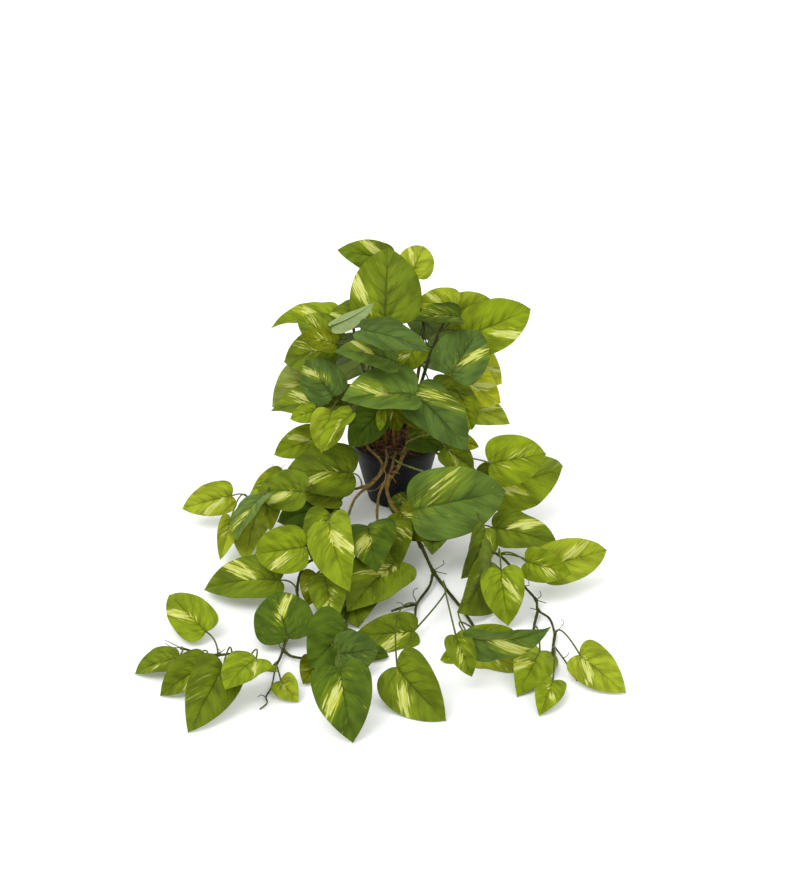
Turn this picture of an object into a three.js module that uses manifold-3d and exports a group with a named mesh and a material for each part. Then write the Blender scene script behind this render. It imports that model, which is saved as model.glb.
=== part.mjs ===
// A potted pothos: variegated heart-shaped leaves on stems that stand in a crown and trail over the pot's
// front. Lengths are millimetres. +Z is up, the trailing stems run towards -Y, and the origin is the middle
// of the pot's base.
import * as THREE from "three";
import { mergeVertices } from "three/addons/utils/BufferGeometryUtils.js";
import Module from "manifold-3d";

// Pot
const POT_HEIGHT = 90;
const POT_BASE_RADIUS = 39;
const POT_LIP_RADIUS = 62.5;
const POT_WALL = 1.8;
const LIP_HEIGHT = 10;
const LIP_STEP = 2.4; // how far the lip stands out past the wall
const FOOT_BEVEL = 1.5;
const POT_SIDES = 28;
const WALL_RADIUS = POT_LIP_RADIUS - LIP_STEP - 1; // the wall's outer radius where the lip begins

// Growing medium
const SOIL_CLEARANCE = 0.3;
const SOIL_TOP = 82;
const SOIL_LUMP = 2.2; // how high the surface's lumps rise
const SOIL_FADE = 54; // the radius at which they have faded out
const SOIL_SIDES = 21;
const ROOT_DEPTH = 28; // how deep a stem's foot stands in the medium
const HOLE_CLEARANCE = 0.6;
const HOLE_SIDES = 6;

// Stems, petioles and rootlets
const STEM_RADIUS = 1.9;
const WOODY_RADIUS = 2.6;
const PETIOLE_RADIUS = 1.05;
const ROOTLET_RADIUS = 0.75;
const TWIG_RADIUS = 0.95;
const STEM_SIDES = 5;
const PETIOLE_SIDES = 3;
const PETIOLE_STEPS = 2;
const KNOT_SWELL = 1.45; // a knot's radius, in stem radii

// Leaf blades
const BLADE_THICKNESS = 0.9;
const GROUND_CLEARANCE = 1; // a blade that would dip under the surface lies along it at this height
const PETIOLE_OVERLAP = 0.3; // share of the midrib's first stretch that the petiole runs along

// Half of a blade's outline from the notch at its foot to its tip: share of the length, share of the half
// width, and the place on the midrib that this point's side vein starts from.
const MARGIN = [
  [0, 0, 0],
  [-0.08, 0.36, 0],
  [-0.05, 0.75, 0],
  [0.1, 0.98, 0],
  [0.3, 1, 1],
  [0.56, 0.86, 1],
  [0.82, 0.47, 2],
  [1, 0, 3],
];
const MIDRIB = [0, 0.22, 0.6, 1];

// The viewpoint that the leaves' places are given from: a pixel of the 800 x 880 picture is a line of sight.
const EYE = new THREE.Vector3(5.7, -2207, 1174);
const EYE_PITCH = THREE.MathUtils.degToRad(26.2);
const FOCAL_PIXELS = 1750;
const MIDDLE_PIXEL = [400, 440];

// The two stems behind the crown: their leaves face a far point up behind the plant, and swing round it.
const BACK_EYE = new THREE.Vector3(0, 1500, 1500);
const BACK_FOOT = [16, 26];
const BACK_LEAVES = 5;
const BACK_SWING = [0.6, 1.6]; // radians from straight back towards the side
const BACK_HEIGHT = [108, 260];
const BACK_REACH = [62, 38];
const BACK_LEAF_LENGTH = [76, 98];
const BACK_DROOP = [0.5, 1]; // radians
const GOLDEN_SHARE = 0.618;

function sight(u, v) {
  const right = (u - MIDDLE_PIXEL[0]) / FOCAL_PIXELS;
  const down = (v - MIDDLE_PIXEL[1]) / FOCAL_PIXELS;
  const sin = Math.sin(EYE_PITCH);
  const cos = Math.cos(EYE_PITCH);
  return new THREE.Vector3(right, cos - down * sin, -sin - down * cos);
}

// The point seen at pixel (u, v) whose depth in the model is y.
function back(u, v, y) {
  const line = sight(u, v);
  return line.multiplyScalar((y - EYE.y) / line.y).add(EYE);
}

// The point seen at pixel (u, v) that is z above the surface.
function over(u, v, z) {
  const line = sight(u, v);
  return line.multiplyScalar((z - EYE.z) / line.z).add(EYE);
}

function at(x, y, z) {
  return new THREE.Vector3(x, y, z);
}

const wasm = await Module();
wasm.setup();

function solidOf(geometry) {
  const bare = geometry.clone();
  bare.deleteAttribute("normal");
  bare.deleteAttribute("uv");
  const merged = mergeVertices(bare, 1e-3);
  return new wasm.Manifold(
    new wasm.Mesh({
      numProp: 3,
      vertProperties: merged.attributes.position.array,
      triVerts: new Uint32Array(merged.index.array),
    }),
  );
}

function geometryOf(solid) {
  const mesh = solid.getMesh();
  const geometry = new THREE.BufferGeometry();
  geometry.setAttribute("position", new THREE.BufferAttribute(mesh.vertProperties, 3));
  geometry.setIndex(new THREE.BufferAttribute(mesh.triVerts, 1));
  geometry.computeVertexNormals();
  return geometry;
}

// One solid of all these. Where they seal a small hollow, its shell comes apart here and is filled.
function fuse(solids) {
  const shells = solids.reduce((whole, piece) => whole.add(piece)).decompose();
  return shells.reduce((largest, shell) => (shell.volume() > largest.volume() ? shell : largest));
}

// A share from 0 to 1 that is always the same for one leaf and one trait.
function chance(leaf, trait) {
  const wild = Math.sin(leaf * 12.9898 + trait * 78.233) * 43758.5453;
  return wild - Math.floor(wild);
}

// ---- Pot and growing medium

function lathe(profile, sides) {
  return new THREE.LatheGeometry(
    profile.map(([r, z]) => new THREE.Vector2(r, z)),
    sides,
  ).rotateX(Math.PI / 2);
}

function wallRadius(z) {
  const slope = (WALL_RADIUS - POT_BASE_RADIUS) / (POT_HEIGHT - LIP_HEIGHT);
  return POT_BASE_RADIUS + slope * z;
}

function potGeometry() {
  const lipFoot = POT_HEIGHT - LIP_HEIGHT;
  const lipOuter = WALL_RADIUS + LIP_STEP;
  return lathe(
    [
      [0, 0],
      [POT_BASE_RADIUS - FOOT_BEVEL, 0],
      [wallRadius(FOOT_BEVEL), FOOT_BEVEL],
      [wallRadius(lipFoot), lipFoot],
      [lipOuter, lipFoot + 0.6],
      [POT_LIP_RADIUS, POT_HEIGHT - 0.8],
      [POT_LIP_RADIUS - 0.7, POT_HEIGHT],
      [POT_LIP_RADIUS - POT_WALL - 0.6, POT_HEIGHT],
      [lipOuter - POT_WALL, lipFoot + 2],
      [wallRadius(lipFoot) - POT_WALL, lipFoot - 1],
      [wallRadius(POT_WALL) - POT_WALL, POT_WALL],
      [0, POT_WALL],
    ],
    POT_SIDES,
  );
}

// The lumps of the medium's surface, which fade out at its edge.
function lump(x, y) {
  const edge = Math.max(0, 1 - (x * x + y * y) / (SOIL_FADE * SOIL_FADE));
  const broad = Math.sin(x * 0.23 + 1) * Math.cos(y * 0.19);
  return SOIL_LUMP * edge * (broad + 0.5 * Math.sin(x * 0.41 - y * 0.37));
}

function soilSolid(holes) {
  const inner = (z) => wallRadius(z) - POT_WALL - SOIL_CLEARANCE;
  const floor = POT_WALL + SOIL_CLEARANCE;
  const lipInside = POT_HEIGHT - LIP_HEIGHT - 2;
  const geometry = lathe(
    [
      [0, floor],
      [inner(floor), floor],
      [inner(lipInside), lipInside],
      [inner(lipInside), SOIL_TOP - 1.5],
      [44, SOIL_TOP],
      [22, SOIL_TOP],
      [0, SOIL_TOP],
    ],
    SOIL_SIDES,
  );
  const position = geometry.attributes.position;
  for (let i = 0; i < position.count; i += 1) {
    const height = position.getZ(i);
    if (height > SOIL_TOP - 1) position.setZ(i, height + lump(position.getX(i), position.getY(i)));
  }
  return holes.reduce((soil, hole) => soil.subtract(hole), solidOf(geometry));
}

// A plain hole in the medium, round one stem's foot.
function holeSolid({ x, y, radius }) {
  const height = ROOT_DEPTH + 12;
  const wide = radius + HOLE_CLEARANCE;
  const hole = new THREE.CylinderGeometry(wide, wide, height, HOLE_SIDES);
  hole.rotateX(Math.PI / 2).translate(x, y, SOIL_TOP - ROOT_DEPTH - HOLE_CLEARANCE + height / 2);
  return solidOf(hole);
}

// ---- Stems

function tubeGeometry(curve, radius, sides, steps) {
  const section = new THREE.Shape();
  for (let i = 0; i < sides; i += 1) {
    const angle = (i / sides) * 2 * Math.PI;
    const point = [radius * Math.cos(angle), radius * Math.sin(angle)];
    if (i === 0) section.moveTo(...point);
    else section.lineTo(...point);
  }
  return new THREE.ExtrudeGeometry(section, { steps, extrudePath: curve, bevelEnabled: false });
}

// A stem's curve is cut into its sections exactly at the route's points, so that its foot stands straight in
// its hole and every joint stays where the leaves hang on it.
class JointedCurve extends THREE.CatmullRomCurve3 {
  getUtoTmapping(u) {
    return u;
  }
}

function stemSolid(stem) {
  const radius = stem.radius ?? STEM_RADIUS;
  const curve = new JointedCurve(stem.route, false, "centripetal");
  const geometry = tubeGeometry(curve, radius, STEM_SIDES, stem.route.length - 1);
  for (const i of stem.knots ?? []) swell(geometry, stem.route[i], radius);
  return solidOf(geometry);
}

// A knot: the section of the stem that lies round this joint grows.
function swell(geometry, joint, radius) {
  const position = geometry.attributes.position;
  const point = new THREE.Vector3();
  for (let i = 0; i < position.count; i += 1) {
    point.fromBufferAttribute(position, i);
    if (point.distanceTo(joint) > radius * 1.05) continue;
    point.lerpVectors(joint, point, KNOT_SWELL);
    position.setXYZ(i, point.x, point.y, point.z);
  }
}

function rootletSolid(knot, end) {
  return solidOf(tubeGeometry(new THREE.LineCurve3(knot, end), ROOTLET_RADIUS, PETIOLE_SIDES, 1));
}

// ---- Leaves

// The blade's own axes: along from foot to tip, face out of its upper side, and across to its right.
// It faces its viewer, turned about its length by the leaf's turn, which tips its right edge away.
function bladeAxes(leaf) {
  const along = leaf.tip.clone().sub(leaf.foot);
  const length = along.length();
  along.normalize();
  const toEye = leaf.viewer.clone().sub(leaf.foot.clone().add(leaf.tip).multiplyScalar(0.5));
  const face = toEye.addScaledVector(along, -toEye.dot(along)).normalize();
  face.applyAxisAngle(along, THREE.MathUtils.degToRad(leaf.turn));
  const across = new THREE.Vector3().crossVectors(along, face);
  return { along, face, across, length };
}

// How far the blade's middle surface stands above its foot-to-tip line, in blade lengths: it arches along the
// midrib, its halves rise from the midrib and curl over, and its margin waves.
function rise(leaf, s, t) {
  const arch = 0.2 + 0.2 * chance(leaf.number, 1);
  const fold = 0.12 + 0.09 * chance(leaf.number, 2);
  const curl = 0.07 + 0.05 * chance(leaf.number, 3);
  const wave = 0.015 + 0.02 * chance(leaf.number, 4);
  const phase = 2 * Math.PI * chance(leaf.number, 5) + (t > 0 ? 1.9 : 0);
  const ends = s > 0 ? s * (1 - s) : s;
  return arch * ends + fold * Math.abs(t) - curl * t * t + wave * t * t * Math.sin(9 * s + phase);
}

// The point of the blade's middle surface at share s of the length and share t of the half width.
function bladePoint(leaf, axes, s, t) {
  const { along, face, across, length } = axes;
  const point = leaf.foot.clone();
  point.addScaledVector(along, s * length);
  point.addScaledVector(across, (t * leaf.wide * length) / 2);
  point.addScaledVector(face, rise(leaf, s, t) * length);
  point.z = Math.max(point.z, GROUND_CLEARANCE);
  return point;
}

// Both faces are split into the same triangles, a face thickness apart, and joined round the margin.
function bladeSolid(leaf) {
  const axes = bladeAxes(leaf);
  const last = MARGIN.length - 1;
  const middle = [];
  const index = { rib: [], right: [], left: [] };
  const place = (s, t) => middle.push(bladePoint(leaf, axes, s, t)) - 1;
  index.rib = MIDRIB.map((s) => place(s, 0));
  for (const [side, sign] of [["right", 1], ["left", -1]]) {
    index[side] = MARGIN.map(([s, t], i) => {
      if (i === 0) return index.rib[0];
      return i === last ? index.rib[index.rib.length - 1] : place(s, sign * t);
    });
  }
  const faces = [];
  for (const [side, flip] of [["right", false], ["left", true]]) {
    const edge = index[side];
    for (let i = 0; i < last; i += 1) {
      const rib = index.rib[MARGIN[i][2]];
      const nextRib = index.rib[MARGIN[i + 1][2]];
      const found = [[rib, edge[i], edge[i + 1]], [rib, edge[i + 1], nextRib]];
      for (const [a, b, c] of found) {
        if (a !== b && b !== c && a !== c) faces.push(flip ? [a, c, b] : [a, b, c]);
      }
    }
  }
  const outline = [...index.right, ...index.left.slice(1, -1).reverse()];
  return thinSolid(middle, axes.face, faces, outline);
}

function thinSolid(middle, face, faces, outline) {
  const half = face.clone().multiplyScalar(BLADE_THICKNESS / 2);
  const count = middle.length;
  const points = [...middle.map((p) => p.clone().add(half)), ...middle.map((p) => p.clone().sub(half))];
  const triangles = [];
  for (const [a, b, c] of faces) triangles.push([a, b, c], [a + count, c + count, b + count]);
  outline.forEach((a, i) => {
    const b = outline[(i + 1) % outline.length];
    triangles.push([a, a + count, b], [b, a + count, b + count]);
  });
  const geometry = new THREE.BufferGeometry().setFromPoints(points);
  geometry.setIndex(triangles.flat());
  return solidOf(geometry);
}

// A petiole leaves the stem, arches up and comes to the blade from behind its foot, where it ends in the
// midrib.
function petioleSolid(leaf, joint) {
  const axes = bladeAxes(leaf);
  const reach = leaf.foot.distanceTo(joint);
  const bend = joint.clone().lerp(leaf.foot, 0.55);
  bend.addScaledVector(axes.along, -0.25 * reach);
  bend.addScaledVector(axes.face, -0.12 * reach);
  bend.z = Math.max(bend.z + Math.min(0.35 * reach, 25), GROUND_CLEARANCE + PETIOLE_RADIUS);
  const end = bladePoint(leaf, axes, 0, 0).lerp(bladePoint(leaf, axes, MIDRIB[1], 0), PETIOLE_OVERLAP);
  const curve = new THREE.QuadraticBezierCurve3(joint, bend, end);
  return solidOf(tubeGeometry(curve, PETIOLE_RADIUS, PETIOLE_SIDES, PETIOLE_STEPS));
}

// ---- Leafy stems. A plan's joints are the points of its stems' routes, counted on from stem to stem. Knots
// are joints of their own stem, a rootlet is its joint and its end, and a leaf is its foot, its tip, its turn
// in degrees, its width in lengths, and the joint that it hangs on.

// A stem stands straight in the medium from here up.
function foot(x, y) {
  return [at(x, y, SOIL_TOP - ROOT_DEPTH), at(x, y, SOIL_TOP + 4)];
}

const leafyStems = [
  {
    name: "stem_crown_top",
    rootHole: { x: 4, y: 8, radius: WOODY_RADIUS },
    stems: [
      {
        radius: WOODY_RADIUS,
        route: [...foot(4, 8), at(2, 8, 150), at(-2, 12, 220), at(-4, 18, 275), at(-6, 26, 318)],
      },
    ],
    leaves: [
      [back(389, 261, 48), back(337, 250, 36), 12, 0.62, 5],
      [back(385, 318, -30), back(388, 247, 30), 0, 0.97, 3],
      [back(412, 274, 40), back(423, 246, 92), 0, 0.86, 4],
    ],
  },
  {
    name: "stem_crown_upper_left",
    rootHole: { x: -14, y: 6, radius: WOODY_RADIUS },
    stems: [
      {
        radius: WOODY_RADIUS,
        route: [...foot(-14, 6), at(-28, 2, 145), at(-44, 0, 195), at(-54, 2, 235), at(-60, 6, 268)],
      },
    ],
    leaves: [
      [back(334, 316, -10), back(271, 328, 0), 58, 0.53, 5],
      [back(336, 341, -66), back(297, 319, -44), 20, 0.85, 4],
      [back(365, 312, -6), back(326, 325, -33), 40, 0.75, 5],
      [back(333, 326, -72), back(374, 303, -56), 150, 0.4, 4],
      [back(333, 348, -20), back(284, 362, -6), 30, 0.9, 3],
      [back(335, 344, -78), back(299, 336, -76), 20, 0.7, 3],
    ],
  },
  {
    name: "stem_crown_left",
    rootHole: { x: -26, y: -4, radius: STEM_RADIUS },
    stems: [
      {
        route: [...foot(-26, -4), at(-40, -14, 112), at(-58, -26, 138), at(-72, -30, 165), at(-80, -26, 190)],
      },
    ],
    leaves: [
      [back(320, 375, 8), back(272, 407, -24), 0, 0.95, 5],
      [back(333, 396, -86), back(306, 360, -44), 0, 0.9, 4],
      [back(345, 405, -70), back(271, 411, -54), 55, 0.75, 3],
      [back(315, 411, -102), back(290, 419, -109), 10, 0.8, 3],
      [back(331, 412, -106), back(321, 452, -120), 0, 0.84, 3],
      [back(352, 414, -132), back(321, 454, -148), 60, 0.66, 3],
      [back(318, 438, -34), back(274, 455, -44), 15, 0.7, 2],
    ],
  },
  {
    name: "stem_crown_right",
    rootHole: { x: 16, y: 6, radius: WOODY_RADIUS },
    stems: [
      {
        radius: WOODY_RADIUS,
        route: [...foot(16, 6), at(28, 6, 145), at(44, 4, 205), at(60, 6, 250), at(74, 10, 280)],
      },
    ],
    leaves: [
      [back(469, 335, -20), back(531, 309, 20), 0, 0.74, 4],
      [back(449, 316, 12), back(492, 300, 30), 0, 0.8, 5],
      [back(456, 306, -4), back(415, 302, -12), 10, 0.8, 5],
      [back(459, 317, -40), back(414, 321, -48), 50, 0.75, 4],
      [back(451, 374, -96), back(480, 331, -40), -10, 0.95, 4],
    ],
  },
  {
    name: "stem_crown_front",
    rootHole: { x: -2, y: -16, radius: STEM_RADIUS },
    stems: [
      {
        route: [...foot(-2, -16), at(-4, -26, 120), at(-8, -38, 160), at(-14, -46, 200), at(-22, -48, 232)],
      },
    ],
    leaves: [
      [back(362, 330, -94), back(430, 352, -114), -55, 0.74, 5],
      [back(394, 361, -88), back(335, 352, -98), 45, 0.68, 4],
      [back(418, 344, -54), back(399, 373, -66), 0, 0.85, 4],
      [back(414, 394, -114), back(341, 400, -123), 45, 0.88, 3],
      [back(415, 395, -104), back(467, 451, -141), -26, 0.7, 3],
      [back(378, 412, -88), back(349, 447, -106), 0, 0.8, 2],
      [back(382, 412, -108), back(380, 431, -114), 0, 0.55, 2],
      [back(392, 398, -44), back(398, 432, -58), 0, 0.75, 3],
    ],
  },
  {
    name: "stem_crown_lower_right",
    rootHole: { x: 24, y: -6, radius: STEM_RADIUS },
    stems: [
      {
        route: [...foot(24, -6), at(42, -12, 118), at(66, -16, 146), at(86, -14, 176), at(98, -8, 206)],
      },
    ],
    leaves: [
      [back(434, 386, -38), back(478, 402, -50), -30, 0.7, 3],
      [back(455, 350, 8), back(502, 384, -6), 0, 0.8, 5],
      [back(450, 372, -16), back(501, 403, -38), 0, 0.8, 3],
      [back(452, 405, -28), back(510, 424, -36), -45, 0.8, 3],
      [back(463, 400, -70), back(472, 430, -82), 0, 0.8, 3],
      [back(452, 438, -48), back(479, 447, -54), 0, 0.66, 2],
      [back(446, 448, -116), back(474, 470, -128), 0, 0.85, 2],
      [back(410, 408, -62), back(444, 428, -82), 0, 0.8, 2],
      [back(411, 439, -68), back(463, 447, -80), -45, 0.8, 2],
    ],
  },
  {
    name: "stem_trailing_upper_left",
    rootHole: { x: -42, y: -8, radius: STEM_RADIUS },
    stems: [
      {
        route: [
          ...foot(-42, -8),
          over(369, 449, 92),
          over(377, 456, 94),
          over(382, 463, 89),
          over(381, 471, 77),
          over(373, 481, 67),
          over(362, 487, 62),
          over(335, 492, 56),
          over(304, 490, 50),
          over(275, 492, 44),
          over(248, 498, 36),
        ],
        knots: [7, 8, 9, 10],
      },
    ],
    leaves: [
      [over(231, 496, 40), over(182, 509, 26), 15, 0.7, 11],
      [over(231, 519, 44), over(220, 560, 12), 0, 0.44, 11],
      [over(262, 497, 78), over(237, 541, 42), 60, 0.8, 10],
      [over(304, 492, 84), over(258, 491, 70), 15, 0.8, 9],
      [over(264, 492, 68), over(271, 531, 34), 0, 0.7, 10],
      [over(284, 478, 52), over(249, 503, 30), 0, 0.76, 9],
      [over(259, 512, 32), over(246, 563, 3), 25, 0.62, 10],
      [over(352, 473, 84), over(284, 474, 74), 26, 0.84, 7],
      [over(341, 500, 41), over(300, 495, 40), 30, 0.7, 8],
      [over(335, 505, 26), over(277, 522, 6), 20, 0.75, 8],
    ],
  },
  {
    name: "stem_trailing_front_left",
    rootHole: { x: -14, y: -32, radius: STEM_RADIUS },
    stems: [
      {
        route: [
          ...foot(-14, -32),
          over(387, 458, 96),
          over(384, 469, 91),
          over(373, 483, 81),
          over(357, 496, 73),
          over(345, 522, 64),
          over(330, 543, 52),
          over(316, 557, 38),
          over(304, 566, 28),
          over(297, 590, 17),
          over(299, 603, 13),
          over(290, 625, 9),
          over(283, 650, 6),
          over(276, 664, 6),
          over(266, 668, 8),
          over(248, 659, 9),
          over(232, 654, 9),
          over(218, 655, 9),
          over(200, 653, 8),
          over(181, 648, 6),
        ],
        knots: [8, 10, 11, 13, 14, 18, 20],
      },
      { route: [over(283, 650, 6), over(291, 656, 6), over(307, 659, 8)] },
      {
        radius: TWIG_RADIUS,
        route: [
          over(276, 664, 6),
          over(271, 688, 3),
          over(266, 697, 3),
          over(267, 703, 3),
          over(260, 709, 2),
        ],
      },
    ],
    rootlets: [
      [20, over(165, 640, 9)],
      [18, over(225, 649, 12)],
    ],
    leaves: [
      [over(304, 547, 74), over(255, 554, 50), 0, 0.84, 8],
      [over(279, 580, 26), over(204, 590, 8), 34, 0.68, 10],
      [over(330, 515, 82), over(312, 562, 46), 0, 0.8, 6],
      [over(329, 523, 96), over(350, 592, 54), 20, 0.57, 6],
      [over(288, 638, 16), over(276, 592, 38), 0, 0.96, 13],
      [over(205, 631, 15), over(169, 595, 30), 6, 0.66, 18],
      [over(178, 659, 12), over(135, 674, 2), 45, 0.8, 20],
      [over(207, 664, 20), over(160, 696, 2), 20, 0.7, 19],
      [over(223, 667, 34), over(188, 733, 2), 0, 0.62, 17],
      [over(256, 659, 44), over(225, 690, 34), 36, 0.9, 16],
      [over(275, 671, 24), over(245, 675, 22), 72, 0.75, 15],
      [over(281, 681, 12), over(298, 702, 2), 0, 0.85, 14],
      [over(316, 663, 10), over(303, 684, 4), 0, 0.95, 23],
    ],
  },
  {
    name: "stem_trailing_front_middle",
    rootHole: { x: 0, y: -38, radius: STEM_RADIUS },
    stems: [
      {
        route: [
          ...foot(0, -38),
          over(394, 459, 96),
          over(391, 470, 88),
          over(380, 492, 72),
          over(377, 512, 56),
          over(378, 530, 42),
          over(372, 555, 30),
          over(360, 580, 22),
          over(350, 605, 16),
          over(345, 630, 12),
          over(343, 655, 12),
        ],
        knots: [6, 7, 8],
      },
    ],
    leaves: [
      [over(383, 527, 38), over(396, 574, 22), 0, 0.76, 6],
      [over(368, 526, 62), over(377, 573, 50), 0, 0.7, 6],
      [over(394, 563, 38), over(347, 612, 20), 20, 0.72, 7],
      [over(316, 574, 38), over(308, 606, 14), 0, 0.8, 8],
      [over(326, 579, 40), over(333, 627, 16), 0, 0.6, 8],
      [over(352, 588, 14), over(358, 628, 3), 0, 0.9, 9],
      [over(347, 628, 40), over(309, 668, 20), 0, 1.08, 10],
      [over(337, 654, 34), over(379, 648, 30), 10, 1, 10],
      [over(339, 669, 50), over(353, 743, 2), 0, 0.75, 11],
      [over(366, 652, 6), over(389, 657, 3), -30, 0.8, 11],
    ],
  },
  {
    name: "stem_trailing_front_right",
    rootHole: { x: 16, y: -32, radius: WOODY_RADIUS },
    stems: [
      {
        radius: WOODY_RADIUS,
        route: [
          ...foot(16, -32),
          over(402, 458, 96),
          over(398, 468, 88),
          over(387, 485, 64),
          over(391, 503, 46),
          over(405, 522, 34),
          over(421, 546, 22),
          over(433, 571, 12),
          over(446, 589, 7),
          over(462, 609, 9),
          over(476, 630, 7),
        ],
        knots: [4, 7, 8],
      },
      { route: [over(433, 571, 12), over(430, 585, 8), over(417, 604, 6), over(415, 617, 8)] },
      { route: [over(417, 604, 6), over(404, 607, 8), over(392, 611, 14)] },
    ],
    rootlets: [
      [8, over(441, 566, 17)],
      [8, over(447, 574, 14)],
      [14, over(413, 594, 9)],
    ],
    leaves: [
      [over(400, 512, 47), over(429, 542, 30), 0, 0.82, 6],
      [over(419, 509, 20), over(388, 502, 14), 0, 0.75, 5],
      [over(414, 631, 13), over(353, 636, 18), 0, 0.64, 9],
      [over(397, 667, 36), over(446, 721, 2), 15, 0.8, 14],
      [over(456, 636, 60), over(472, 677, 22), 0, 0.66, 9],
      [over(466, 652, 7), over(440, 660, 3), 0, 0.8, 11],
      [over(468, 638, 58), over(551, 627, 60), 55, 0.6, 11],
      [over(470, 637, 10), over(515, 631, 8), 0, 0.46, 10],
      [over(471, 650, 15), over(530, 668, 5), 20, 0.58, 11],
    ],
  },
  {
    name: "stem_trailing_right",
    rootHole: { x: 32, y: -20, radius: STEM_RADIUS },
    stems: [
      {
        route: [
          ...foot(32, -20),
          over(430, 448, 95),
          over(440, 456, 88),
          over(447, 468, 86),
          over(458, 490, 82),
          over(468, 514, 70),
          over(476, 536, 56),
          over(487, 550, 46),
          over(499, 555, 42),
          over(512, 568, 32),
          over(524, 586, 20),
          over(536, 600, 11),
          over(538, 610, 8),
          over(549, 618, 6),
          over(555, 634, 5),
        ],
        knots: [5, 7, 8, 9, 12, 13, 15],
      },
      { route: [over(538, 610, 8), over(534, 627, 6), over(533, 640, 8)] },
      { route: [over(555, 634, 5), over(553, 648, 5), over(552, 670, 6)] },
      {
        radius: TWIG_RADIUS,
        route: [over(554, 646, 5), over(563, 658, 4), over(572, 672, 3), over(577, 681, 2)],
      },
    ],
    rootlets: [
      [12, over(546, 603, 14)],
      [13, over(530, 608, 10)],
      [15, over(562, 626, 8)],
    ],
    leaves: [
      [over(494, 483, 75), over(563, 466, 74), 33, 0.78, 5],
      [over(491, 463, 116), over(546, 454, 110), 0, 0.8, 4],
      [over(476, 471, 68), over(498, 507, 40), 0, 0.78, 4],
      [over(416, 509, 84), over(506, 491, 88), 0, 0.74, 5],
      [over(436, 515, 68), over(432, 555, 38), 0, 0.8, 6],
      [over(494, 528, 44), over(559, 548, 28), -40, 0.72, 7],
      [over(527, 562, 46), over(572, 574, 44), 0, 0.72, 9],
      [over(543, 567, 36), over(607, 550, 42), 0, 0.62, 9],
      [over(485, 529, 66), over(461, 579, 12), -50, 0.78, 6],
      [over(491, 562, 42), over(457, 613, 25), -45, 0.78, 8],
      [over(501, 571, 56), over(508, 626, 5), 0, 0.78, 9],
      [over(540, 651, 9), over(517, 697, 1), 0, 0.57, 17],
      [over(553, 681, 15), over(539, 716, 2), 0, 0.62, 20],
      [over(580, 655, 24), over(626, 693, 3), 0, 0.69, 15],
    ],
  },
];

// A back stem carries leaves up its outer side, each a golden share of the swing past the last.
function backStem(name, side) {
  const mix = ([low, high], share) => low + (high - low) * share;
  const leaves = [];
  for (let i = 0; i < BACK_LEAVES; i += 1) {
    const share = i / (BACK_LEAVES - 1);
    const swing = side * mix(BACK_SWING, (i * GOLDEN_SHARE) % 1);
    const outward = at(Math.sin(swing), Math.cos(swing), 0);
    const start = at(0, 20, mix(BACK_HEIGHT, share)).addScaledVector(outward, mix(BACK_REACH, share));
    const length = mix(BACK_LEAF_LENGTH, chance(i + 10 * side, 6));
    const droop = mix(BACK_DROOP, chance(i + 10 * side, 7));
    const end = start.clone().addScaledVector(outward, length * Math.cos(droop));
    end.z -= length * Math.sin(droop);
    leaves.push([start, end, 0, 0.78, 2 + Math.round(3 * share)]);
  }
  const [x, y] = [BACK_FOOT[0] * side, BACK_FOOT[1]];
  const route = [
    ...foot(x, y),
    at(24 * side, 34, 130),
    at(34 * side, 46, 190),
    at(38 * side, 50, 240),
    at(30 * side, 46, 290),
  ];
  const radius = WOODY_RADIUS;
  return { name, viewer: BACK_EYE, rootHole: { x, y, radius }, stems: [{ radius, route }], leaves };
}

leafyStems.push(backStem("stem_crown_back_left", -1), backStem("stem_crown_back_right", 1));

// The leaves are numbered right through the plant, which settles each one's chances.
function leafyStemSolid(plan, firstNumber) {
  const joints = plan.stems.flatMap((stem) => stem.route);
  const solids = plan.stems.map(stemSolid);
  for (const [joint, end] of plan.rootlets ?? []) solids.push(rootletSolid(joints[joint], end));
  plan.leaves.forEach(([start, tip, turn, wide, joint], i) => {
    const leaf = { foot: start, tip, turn, wide, number: firstNumber + i, viewer: plan.viewer ?? EYE };
    solids.push(petioleSolid(leaf, joints[joint]), bladeSolid(leaf));
  });
  return fuse(solids);
}

// ---- The whole plant

const materials = {
  pot: { color: 0x1d1e20, roughness: 0.55, metalness: 0 },
  medium: { color: 0x4a2f1e, roughness: 0.95, metalness: 0 },
  leaf: { color: 0x6f9420, roughness: 0.5, metalness: 0 },
};

function addPiece(group, name, geometry, material) {
  const mesh = new THREE.Mesh(geometry, new THREE.MeshStandardMaterial(materials[material]));
  mesh.name = name;
  group.add(mesh);
}

const plant = new THREE.Group();
addPiece(plant, "pot", potGeometry(), "pot");
const holes = leafyStems.map((plan) => holeSolid(plan.rootHole));
addPiece(plant, "growing_medium", geometryOf(soilSolid(holes)), "medium");
let number = 1;
for (const plan of leafyStems) {
  addPiece(plant, plan.name, geometryOf(leafyStemSolid(plan, number)), "leaf");
  number += plan.leaves.length;
}

export default plant;
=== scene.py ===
"""The looks of a potted pothos: its nursery pot, fibre medium, leafy stems and the studio round them.

The plant is planned in millimetres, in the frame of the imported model. It becomes metres where a mesh is
written.
"""

import logging
import math
from dataclasses import dataclass, field
from enum import Enum, IntEnum
from typing import Sequence, Union

import bmesh
import bpy
from mathutils import Euler, Matrix, Vector, noise


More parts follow.
